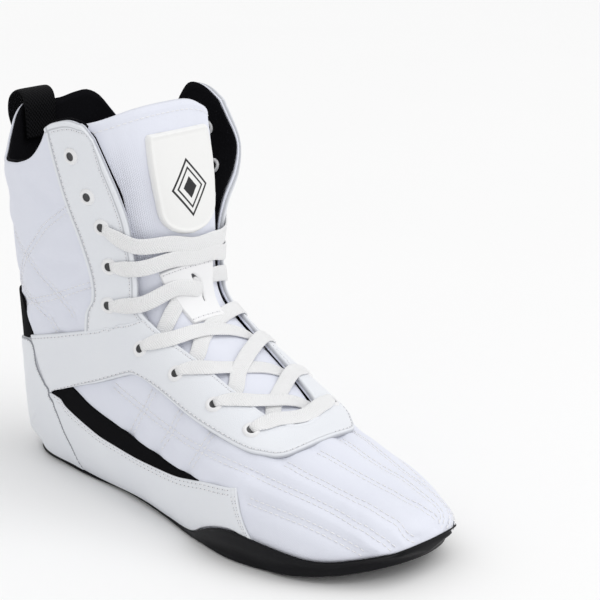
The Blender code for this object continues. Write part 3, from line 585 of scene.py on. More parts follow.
def cloth_relief(points, s, v, side):
    """Height of the cloth: puffed between the quilting lines, drawn down at them, with wear creases."""
    lines = [skin(*quilt_line(knots), one) for one in VAMP for knots in SHAFT_AND_QUARTER + VAMP[one]]
    away = to_nearest(points, np.concatenate(lines))
    t = np.clip((away - QUILT_FLAT) / QUILT_SLOPE, 0, 1)
    relief = QUILT_PUFF * t * (2 - t) - QUILT_DROP * (1 - t)**2
    for (s0, v0), (s1, v1), width, depth in CREASES:
        part = np.linspace(0, 1, 24)
        line = [skin(s0 + (s1 - s0) * part, v0 + (v1 - v0) * part, one) for one in VAMP]
        far = to_nearest(points, np.concatenate(line)) / width
        relief = relief - depth * np.exp(-far**2) + 0.5 * depth * np.exp(-(far - 2.0)**2)
    edge = np.clip((1 - v) / CLOTH_EDGE["share"], 0, 1)
    edge = edge * np.clip((collar_row(v, side) - s) / CLOTH_EDGE["rows"], 0, 1)
    height = points[..., 2] - feather_height(points[..., 0])
    lasted = np.clip((height - LASTED["flat"]) / LASTED["fade"], 0, 1)
    return relief * lasted * np.where(s > THROAT_ROW, edge, np.clip(s / TIP_FLAT, 0, 1))


cloth_finish, wire = finish("white_quilted_cloth", {
    "Specular IOR Level": 0.3, "Sheen Weight": 0.25, "Sheen Roughness": 0.5})
WEAVE = 2 * np.pi / 1.1
across_yarn, along_yarn = wire.chart()
weave = (along_yarn * WEAVE).sine() * (across_yarn * WEAVE).sine()
shade = object_noise(wire, 60.0, 3.0)
feed(cloth_finish, {
    "Base Color": shade.tint((0.75, 0.77, 0.86), (0.79, 0.81, 0.89)),
    "Roughness": shade * 0.15 + 0.68,
    "Normal": (weave * 0.5 + object_noise(wire, 400.0) * 0.8).bump(0.12, 0.5),
})
grid_rows, grid_shares = upper_grid(208, 98, 28)
sheets, yarns = [], []
for side in (LATERAL, MEDIAL):
    s = grid_rows[side]
    base = skin(s, grid_shares, side)
    relief = cloth_relief(base, s, grid_shares, side)
    points = base + relief[..., None] * outward(s, grid_shares, side)
    tip = skin(0.0, 0.5, LATERAL)
    points[0] = (tip[0], centre(tip[0], tip[2]), tip[2])
    sheets.append(points)
    yarns.append(np.stack([run_along(base, 1), run_along(base, 0)], -1))
upper = piece("upper", np.stack(sheets), shell_faces(*grid_shares.shape), cloth_finish,
              ("upper",), np.stack(yarns))
walled(upper, CLOTH_WALL)

# Lining: black knit cloth glued inside the upper's wall, which shows at the collar and round the
# throat as a thin dark edge, where it is turned a little past the white cloth.
LINING_DEPTH = 2.0
LINING_WALL = 0.7
LINING_PROUD = {LATERAL: 0.8, MEDIAL: 0.3}
LINING_HIDDEN = -2.3
LINING_SHOWN = {LATERAL: (20.5, 22.0), MEDIAL: (21.3, 22.8)}
LINING_TIP = 1.2
lining_finish, wire = finish("black_knit_lining", {
    "Roughness": 0.9, "Specular IOR Level": 0.08})
knit = object_noise(wire, 900.0, 1.0)
feed(lining_finish, {
    "Base Color": object_noise(wire, 50.0).tint((0.004, 0.004, 0.005), (0.007, 0.007, 0.009)),
    "Normal": knit.bump(0.25, 0.6),
})
grid_rows, grid_shares = upper_grid(120, 56, 14, 0.05)
sheets = []
for side in (LATERAL, MEDIAL):
    s = np.maximum(grid_rows[side], LINING_TIP)
    points = raised(s, grid_shares, side, np.full(s.shape, -LINING_DEPTH))
    tip = raised(LINING_TIP, 0.5, LATERAL, -LINING_DEPTH)
    points[0] = (tip[0], centre(tip[0], tip[2]), tip[2])
    proud = np.interp(s[:, -1:], LINING_SHOWN[side], (LINING_HIDDEN, LINING_PROUD[side]))
    edge = unit(points[:, -1] - points[:, -2]) * proud
    points[:, -1] += np.where(s[:, -1:] > THROAT_ROW, edge, 0)
    sheets.append(points)
lining = piece("lining", np.stack(sheets), shell_faces(*grid_shares.shape), lining_finish)
walled(lining, LINING_WALL)

# Leather overlays: white smooth calf panels, skived and folded at their edges, glued on the cloth and
# sewn down with rows of white thread. Each is cut between two lines on the last, rib by rib.
LEATHER_TOP = {"heel_counter": 2.4, "foxing": 1.9, "ankle_strap": 2.3, "eyestay": 1.9}
LEATHER_FOOT = -0.2
FOLD_RADIUS = 1.3
# Painted shade at the leather's folded edges: the colour goes towards this grey within a fraction of a
# millimetre of every edge of a panel, in place of the contact shadow there
FOLD_SHADE = (0.25, 0.26, 0.29)
FOLD_SHADE_WIDTH = 0.35
FOLD_SHADE_WEIGHT = 0.6
SEAM_DIP = 0.3
SEAM_HALF = 0.7
RIM = {"rise": 0.5, "width": 3.0}
BEAD = {"rise": 0.45, "middle": 1.7, "half": 1.0}
# Ends that are tucked under another panel: first or last rib, how far they drop, and over what length
TUCK = {"eyestay": ((0,), 1.2, 7.0), "ankle_strap": ((0, -1), 2.3, 8.0)}
# Pressed lines, drawn as painted shade along the seams and beads: distance from a panel's low edge, from its
# top or end edge, and how dark the painted shade is
AWAY = 99.0
PRESSED_SHADE = {"heel_counter": (AWAY, 0.9, 1.0), "foxing": (AWAY, AWAY, 0.0),
           "ankle_strap": (1.9, AWAY, 0.35), "eyestay": (3.0, 3.1, 0.45)}
BORDERS = ("low", "top", "start", "end")
# Each rib: low edge (row, share), top edge (row, share), and a bow if it has one
COUNTER = [
    (12.70, 0.004, 12.74, 0.030),
    (12.85, 0.006, 13.06, 0.139),
    (13.02, 0.008, 13.58, 0.221),
    (13.25, 0.009, 13.98, 0.269),
    (13.52, 0.010, 14.37, 0.309),
    (13.88, 0.011, 14.79, 0.350),
    (14.30, 0.012, 15.99, 0.406),
    (14.80, 0.016, 16.53, 0.389),
    (15.35, 0.0265, 16.93, 0.369),
    (15.98, 0.0567, 17.42, 0.345),
    (16.035, 0.046, 18.22, 0.319),
    (16.066, 0.030, 18.64, 0.170),
    (16.082, 0.000, 18.72, 0.000),
]
FOXING = [
    (13.05, 0.000, 15.85, 0.400, -0.80),
    (12.50, -0.003, 14.56, 0.364, -0.40),
    (11.95, -0.005, 13.90, 0.326, -0.15),
    (11.00, -0.006, 12.52, 0.288),
    (10.20, -0.005, 11.74, 0.275),
    (9.60, -0.002, 10.85, 0.268),
    (9.20, 0.008, 9.76, 0.278),
    (8.95, 0.032, 9.00, 0.306),
    (8.62, 0.073, 8.66, 0.325),
    (8.05, 0.120, 8.15, 0.349),
    (7.25, 0.150, 7.72, 0.371),
    (6.62, 0.118, 7.42, 0.394),
]
ANKLE_STRAP = [
    (16.14, 0.394, 18.44, 0.300),
    (15.04, 0.398, 18.15, 0.399),
    (14.29, 0.429, 17.83, 0.483),
    (13.83, 0.458, 17.53, 0.552),
    (13.35, 0.491, 17.14, 0.621),
    (12.90, 0.529, 16.60, 0.690),
    (12.65, 0.551, 16.30, 0.722),
    (12.40, 0.572, 15.30, 0.749),
    (12.15, 0.592, 14.65, 0.766),
    (11.98, 0.600, 14.10, 0.798, 0.10),
    (11.60, 0.604, 13.30, 0.850, 0.40),
    (10.90, 0.595, 11.60, 1.000),
    (9.40, 0.565, 9.80, 1.000),
    (8.45, 0.563, 8.60, 1.000),
    (7.70, 0.581, 7.95, 1.000),
    (7.20, 0.622, 7.66, 1.000),
    (6.86, 0.660, 7.52, 1.000),
    (6.64, 0.715, 7.44, 1.000),
    (6.52, 0.785, 7.40, 1.000),
    (6.45, 0.870, 7.37, 1.000),
    (6.42, 1.000, 7.345, 1.000),
]
EYESTAY = [
    (16.60, 0.609, 12.70, 1.000, 0.35),
    (17.80, 0.622, 15.30, 1.000, 0.42),
    (18.32, 0.652, 17.20, 1.000, 0.10),
    (19.30, 0.651, 18.80, 1.000),
    (20.70, 0.622, 20.40, 1.000),
    (22.10, 0.587, 21.80, 1.000),
    (23.30, 0.566, 23.00, 1.000, 0.10),
    (24.24, 0.555, 23.95, 1.000, 0.40),
]
# Rows of stitches: distances from the edges of each panel
EDGE_ROWS = {
    "ankle_strap": {"low": (2.4,), "top": (2.4,)},
    "foxing": {"top": (1.8, 4.0), "end": (1.8, 4.0)},
    "eyestay": {"low": (3.6,), "top": (4.6,), "end": (4.6,)},
    "heel_counter": {"top": (1.8,)},
}


def kind_of(name):
    """The name of a panel without its side."""
    return name.removesuffix("_lateral").removesuffix("_medial")


def crowded(count):
    """Shares from 0 to 1 that crowd towards both ends: t - 0.9 sin(2 pi t) / (2 pi)."""
    t = np.linspace(0, 1, count)
    return t - 0.9 * np.sin(2 * np.pi * t) / (2 * np.pi)


def rolled(away, radius):
    """0 at an edge and 1 from one radius inwards, along a quarter circle."""
    return np.sqrt(1 - (1 - np.clip(away / radius, 0, 1))**2)


def edges(points):
    """Distance of each point of a grid from the grid's four edges."""
    across = run_along(points, 1)
    along = run_along(points, 0)
    return {"low": across, "top": across[:, -1:] - across, "start": along, "end": along[-1:] - along}


def cut(table, along, across, sides, to_collar=False):
    """An overlay's grid on the last: ribs between two edges, over one side or both, or up to the collar."""
    w = crowded(along) if len(sides) == 1 else 2 * crowded(along) - 1
    j = (w if len(sides) == 1 else 1 - np.abs(w)) * (len(table) - 1)
    side = np.full(along, sides[0]) if len(sides) == 1 else np.where(w < 0, *sides)
    low_s, low_v, top_s, top_v, bow = [curve(j, np.arange(len(table)), column)[:, None]
                                       for column in np.array([(*rib, 0.0)[:5] for rib in table]).T]
    top_v = np.minimum(top_v, np.where(top_s > THROAT_ROW, np.interp(top_s, FAN, KEPT), 1))
    c = crowded(across)[None, :]
    s = low_s + (top_s - low_s) * c + 4 * c * (1 - c) * bow
    v = open_share(s, low_v + (top_v - low_v) * c)
    if to_collar:
        s = s + np.clip(j[:, None] - len(table) + 2, 0, 1) * (collar_row(v, sides[0]) - s[-1:])
    side = np.repeat(side[:, None], across, 1)
    base = skin(s, v, side)
    return {"s": s, "v": v, "side": side, "base": base, "normal": outward(s, v, side), **edges(base)}


def two_layers(grid, top, foot):
    """The points of a sheet: its face at one height above the last and its back at another."""
    return np.stack([grid["base"] + height[..., None] * grid["normal"] for height in (top, foot)])


def fold_height(grid, top, foot, radius):
    """Height of a panel's face: full inside, rolled down to its foot at all four edges."""
    share = np.prod([rolled(grid[edge], radius) for edge in BORDERS], axis=0)
    return foot + (top - foot) * share


def doubled(field):
    """One field for both layers of a sheet."""
    return np.stack([field, field])


def swatch(grid):
    """Cloth coordinates of both layers of a sheet, in millimetres along its two directions."""
    return doubled(np.stack([grid["low"], grid["start"]], -1))


leather_finish, wire = finish("white_smooth_leather", {
    "Specular IOR Level": 0.45, "Coat Roughness": 0.35, "Coat Weight": 0.15})
place = wire.node("TexCoord", (), (), "Object")
pore = wire.node("TexVoronoi", {"feature": "DISTANCE_TO_EDGE"}, {"Vector": place, "Scale": 900.0})
handling = object_noise(wire, 35.0, 4.0)
from_low, from_rim = wire.chart()
# Painted shade in a narrow band along each pressed line, standing in for the shadow in its groove
pressed_shade = (1 - from_low.size().least(from_rim.size()).step(0.25, 0.65)) * wire.mark("pressed_shade")
calf = handling.tint((0.78, 0.80, 0.85), (0.83, 0.85, 0.88))
# Painted shade: the leather's colour goes towards the grey near its folded edges and along its pressed lines
dark = pressed_shade + wire.mark("fold_shade")
feed(leather_finish, {
    "Base Color": dark.tint(calf, FOLD_SHADE),
    "Roughness": handling * 0.2 + 0.34,
    "Normal": (pore.step(0.0, 0.12) * 0.4 + handling).bump(0.22, 0.5),
})
panels = {
    "heel_counter": cut(COUNTER, 181, 46, (LATERAL, MEDIAL)),
    "foxing_lateral": cut(FOXING, 150, 44, (LATERAL,)),
    "foxing_medial": cut(FOXING, 150, 44, (MEDIAL,)),
    "ankle_strap": cut(ANKLE_STRAP, 261, 50, (LATERAL, MEDIAL)),
    "eyestay_lateral": cut(EYESTAY, 130, 44, (LATERAL,), True),
    "eyestay_medial": cut(EYESTAY, 130, 44, (MEDIAL,), True),
}
for panel_name, grid in panels.items():
    kind = kind_of(panel_name)
    top = np.full(grid["s"].shape, LEATHER_TOP[kind])
    for edge, distances in EDGE_ROWS[kind].items():
        for distance in distances:
            top = top - SEAM_DIP * np.exp(-((grid[edge] - distance) / SEAM_HALF)**2)
    rim = np.minimum(grid["top"], grid["end"])
    if kind == "eyestay":
        top = top + BEAD["rise"] * np.exp(-((grid["low"] - BEAD["middle"]) / BEAD["half"])**2)
        top = top + RIM["rise"] / (1 + (rim / RIM["width"])**12)
    tucked, drop, reach = TUCK.get(kind, ((), 0.0, 1.0))
    for rib in tucked:
        top = top - drop * (1 - rolled(to_nearest(grid["base"], grid["base"][rib]), reach))
    face = fold_height(grid, top, LEATHER_FOOT, FOLD_RADIUS)
    sheet = two_layers(grid, face, np.full(face.shape, LEATHER_FOOT))
    inside = np.minimum.reduce([grid[edge] for edge in BORDERS])
    # Painted shade near each edge of the panel, strongest at the edge itself
    fold_shade = FOLD_SHADE_WEIGHT * np.exp(-(inside / FOLD_SHADE_WIDTH)**2)
    # Where the pressed lines lie, and how strong their painted shade is
    low_line, rim_line, depth = PRESSED_SHADE[kind]
    chart = np.stack([grid["low"] - low_line, rim - rim_line], -1)
    marks = {"fold_shade": doubled(fold_shade), "pressed_shade": np.full(sheet.shape[:3], depth)}
    piece(panel_name, sheet, shell_faces(*face.shape), leather_finish, (panel_name,),
          doubled(chart), marks)
    grid["face"] = sheet[0]

# Black trim: the side stripes and the strip above the counter, of matte black synthetic suede, laid
# under the edges of the leather and sewn with them.
TRIM_TOP = {"stripe": 1.3, "heel_strip": 1.0}
TRIM_ROUND = 0.8
STRIPE = [
    (15.50, 0.382, 14.75, 0.443),
    (14.00, 0.318, 13.20, 0.393),
    (12.80, 0.284, 12.05, 0.371),
    (11.75, 0.265, 11.20, 0.349),
    (10.80, 0.257, 10.45, 0.332),
    (9.75, 0.268, 9.65, 0.318),
    (9.10, 0.296, 9.11, 0.316),
    (8.80, 0.313, 8.84, 0.316),
]
HEEL_STRIP = [
    (18.31, 0.331, 18.37, 0.332),
    (18.34, 0.300, 19.08, 0.287),
    (18.56, 0.188, 19.68, 0.251),
    (18.66, 0.090, 20.00, 0.137),
    (18.70, 0.000, 20.10, 0.000),
]
trim_finish, wire = finish("black_suede", {"Specular IOR Level": 0.05})
nap = object_noise(wire, 700.0, 2.0)
feed(trim_finish, {
    "Base Color": nap.tint((0.002, 0.002, 0.003), (0.005, 0.005, 0.006)),
    "Roughness": nap * 0.2 + 0.7,
    "Normal": nap.bump(0.15, 0.5),
})
trims = {
    "stripe_lateral": cut(STRIPE, 120, 22, (LATERAL,)),
    "stripe_medial": cut(STRIPE, 120, 22, (MEDIAL,)),
    "heel_strip": cut(HEEL_STRIP, 121, 22, (LATERAL, MEDIAL)),
}
for trim_name, grid in trims.items():
    kind = kind_of(trim_name)
    face = fold_height(grid, TRIM_TOP[kind], LEATHER_FOOT, TRIM_ROUND)
    sheet = two_layers(grid, face, np.full(face.shape, LEATHER_FOOT))
    piece(trim_name, sheet, shell_faces(*face.shape), trim_finish, (trim_name,))

# Stitching: white bonded polyester thread in lockstitch, double rows on the quilting and single or
# double rows inside the edges of the leather. Each stitch is one short round of thread.
STITCH_PITCH = 3.4
STITCH_LENGTH = 2.7
THREAD = 0.8
# Scales down the painted shade at the ends of the quilting and binding stitches, so that they stay pale
QUILT_TIP_SHADE = 0.62
QUILT_LIFT = 0.15
QUILT_ROWS = (-1.5, 1.5)
THROAT_FOOT = {"row": 8.7, "share": 0.9}


def inset(grid, edge, distance):
    """Lines on an overlay's face at a distance from an edge, one for each side: points and normals.

    They stop short of the panel's ends and of the foot of the throat, which the lace covers.
    """
    ends = ("start", "end") if edge in ("low", "top") else ("low", "top")
    fields = [grid[name] for name in (edge, *ends, "s", "v", "side")]
    fields += [*np.moveaxis(grid["face"], -1, 0), *np.moveaxis(grid["normal"], -1, 0)]
    if edge in ("start", "end"):
        fields = [field.T for field in fields]
    if edge in ("top", "end"):
        fields = [field[:, ::-1] for field in fields]
    run, start, end, s, v, side = fields[:6]
    want = np.minimum(distance, 0.5 * run[:, -1:])
    read = np.concatenate(read_along(want, run, *fields[6:]), 1)
    foot = (s[:, 0] < THROAT_FOOT["row"]) & (v[:, 0] > THROAT_FOOT["share"])
    keep = (start[:, 0] > distance) & (end[:, 0] > distance) & ~foot
    lines = [read[keep & (side[:, 0] == one)] for one in np.unique(side)]
    return [(line[:, :3], unit(line[:, 3:])) for line in lines]


def beaded(path, normal, pitch):
    """Centres, directions and normals of even steps along a path."""
    run = run_along(path)
    at = (np.arange(max(int(run[-1] / pitch), 1)) + 0.5) * pitch
    place, back, ahead = [read_line(at + part * pitch, run, path) for part in (0.0, -0.3, 0.3)]
    return place, unit(ahead - back), unit(read_line(at, run, normal))


def stitches(beads, length, width):
    """Closed beads of thread: rings of five points, swelling from end to middle, along each direction."""
    place, ahead, up = [np.concatenate(part) for part in zip(*beads)]
    beside = np.cross(up, ahead)
    t = np.array([-0.97, -0.7, 0.0, 0.7, 0.97])[:, None]
    angle = turns(5)
    swell = np.sqrt(1 - t**2) * width / 2
    local = np.stack([np.repeat(t, 5, 1) * length / 2, swell * np.cos(angle), swell * np.sin(angle)], -1)
    local = local.reshape(-1, 3)
    axes = np.stack([ahead, beside, up], 1)
    points = place[:, None, :] + local @ axes
    first = len(local) * np.arange(len(place))[:, None, None]
    sides = (quads(5, 5, ring=True)[None] + first).reshape(-1, 4).tolist()
    caps = (np.array([[4, 3, 2, 1, 0], [20, 21, 22, 23, 24]])[None] + first).reshape(-1, 5).tolist()
    # How near each point lies to the stitch's end, which sets its painted shade
    tip_shade = np.tile(np.repeat(np.abs(t[:, 0]), 5), len(place))
    return points, sides + caps, tip_shade


# Painted shade: each stitch darkens towards its two ends, where the thread sinks into its needle holes
thread_finish, wire = finish("white_thread", {"Roughness": 0.6, "Sheen Weight": 0.2})
feed(thread_finish, {
    "Base Color": wire.mark("tip").step(0.5, 0.9).tint((0.84, 0.84, 0.86), (0.16, 0.16, 0.19)),
})
edge_beads = []
for panel_name, grid in panels.items():
    kind = kind_of(panel_name)
    for edge, distances in EDGE_ROWS[kind].items():
        for distance in distances:
            edge_beads += [beaded(*line, STITCH_PITCH) for line in inset(grid, edge, distance)]
points, faces, tip_shade = stitches(edge_beads, STITCH_LENGTH, THREAD)
piece("edge_stitching", points, faces, thread_finish, (), None, {"tip": tip_shade})
quilt_beads = []
for side in (LATERAL, MEDIAL):
    for knots in SHAFT_AND_QUARTER + VAMP[side]:
        s, v = quilt_line(knots)
        path = skin(s, v, side)
        normal = outward(s, v, side)
        path = path + (cloth_relief(path, s, v, side) + QUILT_LIFT)[:, None] * normal
        aside = unit(np.cross(normal, np.gradient(path, axis=0)))
        for shift in QUILT_ROWS:
            quilt_beads.append(beaded(path + shift * aside, normal, STITCH_PITCH))
points, faces, tip_shade = stitches(quilt_beads, STITCH_LENGTH, THREAD)
piece("quilt_stitching", points, faces, thread_finish, (), None, {"tip": QUILT_TIP_SHADE * tip_shade})

# Tongue: a padded strap of white cloth over foam, with net along its lateral edge and a bound top edge.
# It is sewn in under the vamp and rises behind the laces.
WALL = 2.0
TONGUE_DROP = WALL + 1.0
TONGUE_PAD = 4.0
TONGUE_ROW = [6.9, 7.6, 9.0, 11.0, 13.0, 16.0, 19.0, 22.0, 24.9]
TONGUE_LATERAL = [12.0, 15.0, 24.5, 29.5, 33.0, 35.0, 36.5, 41.0, 47.0]
TONGUE_MEDIAL = [12.0, 15.0, 23.0, 28.0, 31.0, 32.0, 29.5, 28.5, 28.0]
TONGUE_CORNER = {LATERAL: 0.5, MEDIAL: 0.55}
TONGUE_RISE = 1.4
TONGUE_SPAN = 30.0
TONGUE_ROUND = 3.0
TONGUE_SWELL = {"rise": 0.9, "width": 16.0, "row": 18.5}
BINDING = {"width": 5.0, "step": 0.6, "rise": 0.5, "seam": 1.0}
LID_FIRST_ROW = 6.35
LID_SMALL_ROW = 0.08
NET = {"edge": -0.52, "fade": 0.35, "row": 18.0, "row_fade": 0.5, "end": 24.0, "end_fade": 1.5}
NET_SHADE = (0.55, 0.56, 0.63)
TROUGH = {"rows": (19.3, 23.6), "y": (-21.0, -27.0), "half": 4.5, "depth": 1.5}


def lid(s, y):
    """The closed section across the throat, where the tongue lies, at a distance from the middle."""
    row = stations(s)
    rise = (1 - np.minimum(np.abs(y) / row["half"], 1)**row["arc"])**(1 / row["arc"])
    share = row["widest"] + (1 - row["widest"]) * rise
    x = row["base_x"] + share * (row["top_x"] - row["base_x"])
    z = row["base_z"] + share * (row["top_z"] - row["base_z"])
    return np.stack(np.broadcast_arrays(x, centre(x, z) + y, z), -1)


def lid_normal(s, y):
    """Unit normal of the closed section, pointing out of the shoe, by differences."""
    after = np.minimum(np.add(s, LID_SMALL_ROW), LAST_ROW)
    before = np.maximum(np.subtract(s, LID_SMALL_ROW), LID_FIRST_ROW)
    along = lid(after, y) - lid(before, y)
    across = lid(s, np.add(y, 1.0)) - lid(s, np.subtract(y, 1.0))
    return unit(np.cross(across, along))


def on_lid(s, y):
    """A grid on the closed section, in the form that an overlay's grid has."""
    base = lid(s, y)
    return {"s": s, "y": y, "base": base, "normal": lid_normal(s, y), **edges(base)}


def tongue_face(y):
    """Height of the tongue's flat face above the closed section: it crowns between the flaps."""
    return TONGUE_RISE * np.clip(1 - (y / TONGUE_SPAN)**2, 0, 1) - TONGUE_DROP


tongue_finish, wire = finish("white_padded_cloth", {
    "Specular IOR Level": 0.3, "Sheen Weight": 0.25, "Sheen Roughness": 0.5})
yarn = wire.node("UVMap", {"uv_map": "Cloth"}, (), "UV")
holes = wire.node("TexVoronoi", (), {"Vector": yarn, "Scale": 0.8, "Randomness": 0.1})
pit = (1 - holes.step(0.2, 0.5)) * wire.mark("mesh")
shade = object_noise(wire, 60.0, 3.0)
plain = shade.tint((0.75, 0.77, 0.86), (0.79, 0.81, 0.89))
feed(tongue_finish, {
    "Base Color": pit.tint(plain, NET_SHADE),
    "Roughness": shade * 0.15 + 0.68,
    "Normal": (object_noise(wire, 420.0) * 0.3 - pit).bump(0.45, 0.6),
})
s = np.linspace(TONGUE_ROW[0], TONGUE_ROW[-1], 150)[:, None]
across = (2 * crowded(71) - 1)[None, :]
height = (s - TONGUE_ROW[0]) / (TONGUE_ROW[-1] - TONGUE_ROW[0])
tongue_half = np.where(across < 0, *[curve(s, TONGUE_ROW, half) for half in (TONGUE_LATERAL, TONGUE_MEDIAL)])
corner = np.where(across < 0, TONGUE_CORNER[LATERAL], TONGUE_CORNER[MEDIAL])
grid = on_lid(s - corner * height**8 * np.abs(across)**3, across * tongue_half)
body = fold_height(grid, 1.0, 0.0, TONGUE_ROUND)
bound = 1 - np.clip((grid["end"] - BINDING["width"] + BINDING["step"]) / BINDING["step"], 0, 1)
part = np.clip(np.minimum(grid["low"], grid["top"]) / TONGUE_SWELL["width"], 0, 1)
swell = TONGUE_SWELL["rise"] * np.sin(np.pi * part) * (s > TONGUE_SWELL["row"])
part = share_of(TROUGH["rows"], s)
trough = np.exp(-((grid["y"] - blend(TROUGH["y"], part)) / TROUGH["half"])**2)
swell = swell - TROUGH["depth"] * np.sin(np.pi * part)**0.7 * trough
front = (TONGUE_PAD / 2 + swell + BINDING["rise"] * bound) * body
middle = tongue_face(grid["y"]) - TONGUE_PAD / 2
sheet = two_layers(grid, middle + front, middle - TONGUE_PAD / 2 * body)
netted = np.clip((NET["edge"] - across) / NET["fade"], 0, 1) * (1 - bound)
netted = netted * np.clip((s - NET["row"]) / NET["row_fade"], 0, 1)
netted = netted * np.clip((NET["end"] - s) / NET["end_fade"], 0, 1)
tongue = piece("tongue", sheet, shell_faces(*netted.shape), tongue_finish, ("tongue",),
               swatch(grid), {"mesh": doubled(netted)})
row = np.argmin(np.abs(grid["end"][:, across.size // 2] - BINDING["width"] - BINDING["seam"]))
path, normal = sheet[0, row, 3:-3], grid["normal"][row, 3:-3]
points, faces, tip_shade = stitches([beaded(path, normal, STITCH_PITCH)], STITCH_LENGTH, THREAD)
piece("binding_stitching", points, faces, thread_finish, (), None, {"tip": QUILT_TIP_SHADE * tip_shade})

# Tongue keeper: a leather patch sewn across the tongue, with one slit that takes the lace and keeps
# the tongue from sliding.
PATCH_SEAT = 0.4
PATCH_FOOT = -0.4
KEEPER_ROWS = (11.7, 17.8)
KEEPER_LATERAL = (10.5, 21.5)
KEEPER_MEDIAL = (12.5, 16.0)
KEEPER_TOP = 1.5
KEEPER_ROUND = 1.0
KEEPER_SEAM = 2.2
KEEPER_COLUMNS = 61
SLIT = {"rows": (12.9, 16.8), "y": (3.5, -2.0), "half": (0.8, 2.8), "depth": 1.2}
slit_finish, wire = finish("white_keeper_leather", {"Specular IOR Level": 0.45})
handling = object_noise(wire, 35.0, 4.0)
# Painted shade: the slit is coloured nearly black, for the shadow inside the cut
feed(slit_finish, {
    "Base Color": wire.mark("slit").step(0.35, 0.8).tint((0.87, 0.87, 0.88), (0.05, 0.05, 0.06)),
    "Roughness": handling * 0.2 + 0.34,
    "Normal": handling.bump(0.22, 0.5),
})
t = crowded(70)[:, None]
s = blend(KEEPER_ROWS, t)
lateral, medial = blend(KEEPER_LATERAL, t), blend(KEEPER_MEDIAL, t)
grid = on_lid(s, (lateral + medial) * crowded(KEEPER_COLUMNS)[None, :] - lateral)
along_slit = share_of(SLIT["rows"], s)
width = blend(SLIT["half"], along_slit) * np.sqrt(np.maximum(4 * along_slit * (1 - along_slit), 1e-6))
# The slit's mask, which both sinks the leather and carries its painted shade
slit = np.exp(-((grid["y"] - blend(SLIT["y"], along_slit**2)) / width)**4)
slit = slit * (along_slit > 0) * (along_slit < 1)
face = fold_height(grid, PATCH_SEAT + KEEPER_TOP, PATCH_FOOT, KEEPER_ROUND)
face = face - SLIT["depth"] * slit + tongue_face(grid["y"])
sheet = two_layers(grid, face, tongue_face(grid["y"]) + PATCH_FOOT)
piece("tongue_keeper", sheet, shell_faces(*face.shape), slit_finish, ("tongue_keeper",),
      swatch(grid), {"slit": np.stack([slit, 0 * slit])})
keeper_beads = []
from_start, to_end = [grid[edge][:, KEEPER_COLUMNS // 2] for edge in ("start", "end")]
for row in (np.argmax(from_start > KEEPER_SEAM), np.argmax(to_end < KEEPER_SEAM)):
    keeper_beads.append(beaded(sheet[0, row, 8:-8], grid["normal"][row, 8:-8], STITCH_PITCH))
points, faces, tip_shade = stitches(keeper_beads, STITCH_LENGTH, THREAD)
piece("keeper_stitching", points, faces, thread_finish, (), None, {"tip": tip_shade})

# Badge: a shield of white moulded rubber, welded to the tongue, with a raised rim. Its field carries a
# plain raised figure of nested lozenges, filled with black.
BADGE_ROW = [19.72, 21.2, 22.2, 23.4, 23.95]
BADGE_HALF = [20.0, 20.5, 21.8, 22.2, 21.5]
BADGE_POINT = 1.5
BADGE_CORNER = 0.18
BADGE_THICKNESS = 2.6
BADGE_RIM = {"rise": 0.5, "middle": 1.9, "half": 0.9}
BADGE_ROUND = 1.8
BADGE_COLUMNS = 81
LOZENGE = (12.5, 16.0)
LOZENGE_CENTRE = 25.0
LOZENGE_RISE = 0.25
LOZENGE_BARS = (0.92, 0.66)
LOZENGE_BAR_HALF = 0.07
LOZENGE_CORE = 0.37
badge_finish, wire = finish("white_moulded_rubber", {"Specular IOR Level": 0.45})
u, w = wire.chart()
ray = u.size() * (1 / LOZENGE[0]) + (w - LOZENGE_CENTRE).size() * (1 / LOZENGE[1])
ink = (ray.step(0.86, 0.88) - ray.step(0.98, 1.0)) + (1 - ray.step(0.36, 0.38))
ink = ink + (ray.step(0.60, 0.62) - ray.step(0.70, 0.72))
smear = object_noise(wire, 120.0)
feed(badge_finish, {
    "Base Color": ink.tint((0.86, 0.86, 0.85), (0.012, 0.012, 0.014)),
    "Roughness": smear * 0.12 + 0.42,
    "Normal": smear.bump(0.05, 0.4),
})
t = crowded(100)[:, None]
s = blend((BADGE_ROW[0], BADGE_ROW[-1]), t)
point = np.clip((s - BADGE_ROW[0]) / BADGE_POINT, 0, 1)
corner = np.clip((BADGE_ROW[-1] - s) / BADGE_CORNER, 0, 1)
half = curve(s, BADGE_ROW, BADGE_HALF) * (1 - (1 - point)**2)**0.5 * (0.9 + 0.1 * (1 - (1 - corner)**2)**0.5)
grid = on_lid(s, half * (2 * crowded(BADGE_COLUMNS) - 1)[None, :])
up = np.repeat(grid["start"][:, [BADGE_COLUMNS // 2]], BADGE_COLUMNS, 1)
base = grid["base"]
inside = to_nearest(base, np.concatenate([base[:, 0], base[:, -1], base[-1]]))
rim = BADGE_RIM["rise"] * np.exp(-((inside - BADGE_RIM["middle"]) / BADGE_RIM["half"])**2)
ray = np.abs(grid["y"]) / LOZENGE[0] + np.abs(up - LOZENGE_CENTRE) / LOZENGE[1]
bars = sum(1 / (1 + ((ray - bar) / LOZENGE_BAR_HALF)**6) for bar in LOZENGE_BARS) + (ray < LOZENGE_CORE)
top = PATCH_SEAT + BADGE_THICKNESS + rim + LOZENGE_RISE * bars
face = PATCH_FOOT + (top - PATCH_FOOT) * rolled(inside, BADGE_ROUND) + tongue_face(grid["y"])
sheet = two_layers(grid, face, tongue_face(grid["y"]) + PATCH_FOOT)
chart = np.stack([grid["y"], up], -1)
piece("badge", sheet, shell_faces(*face.shape), badge_finish, ("badge",),
      doubled(chart))

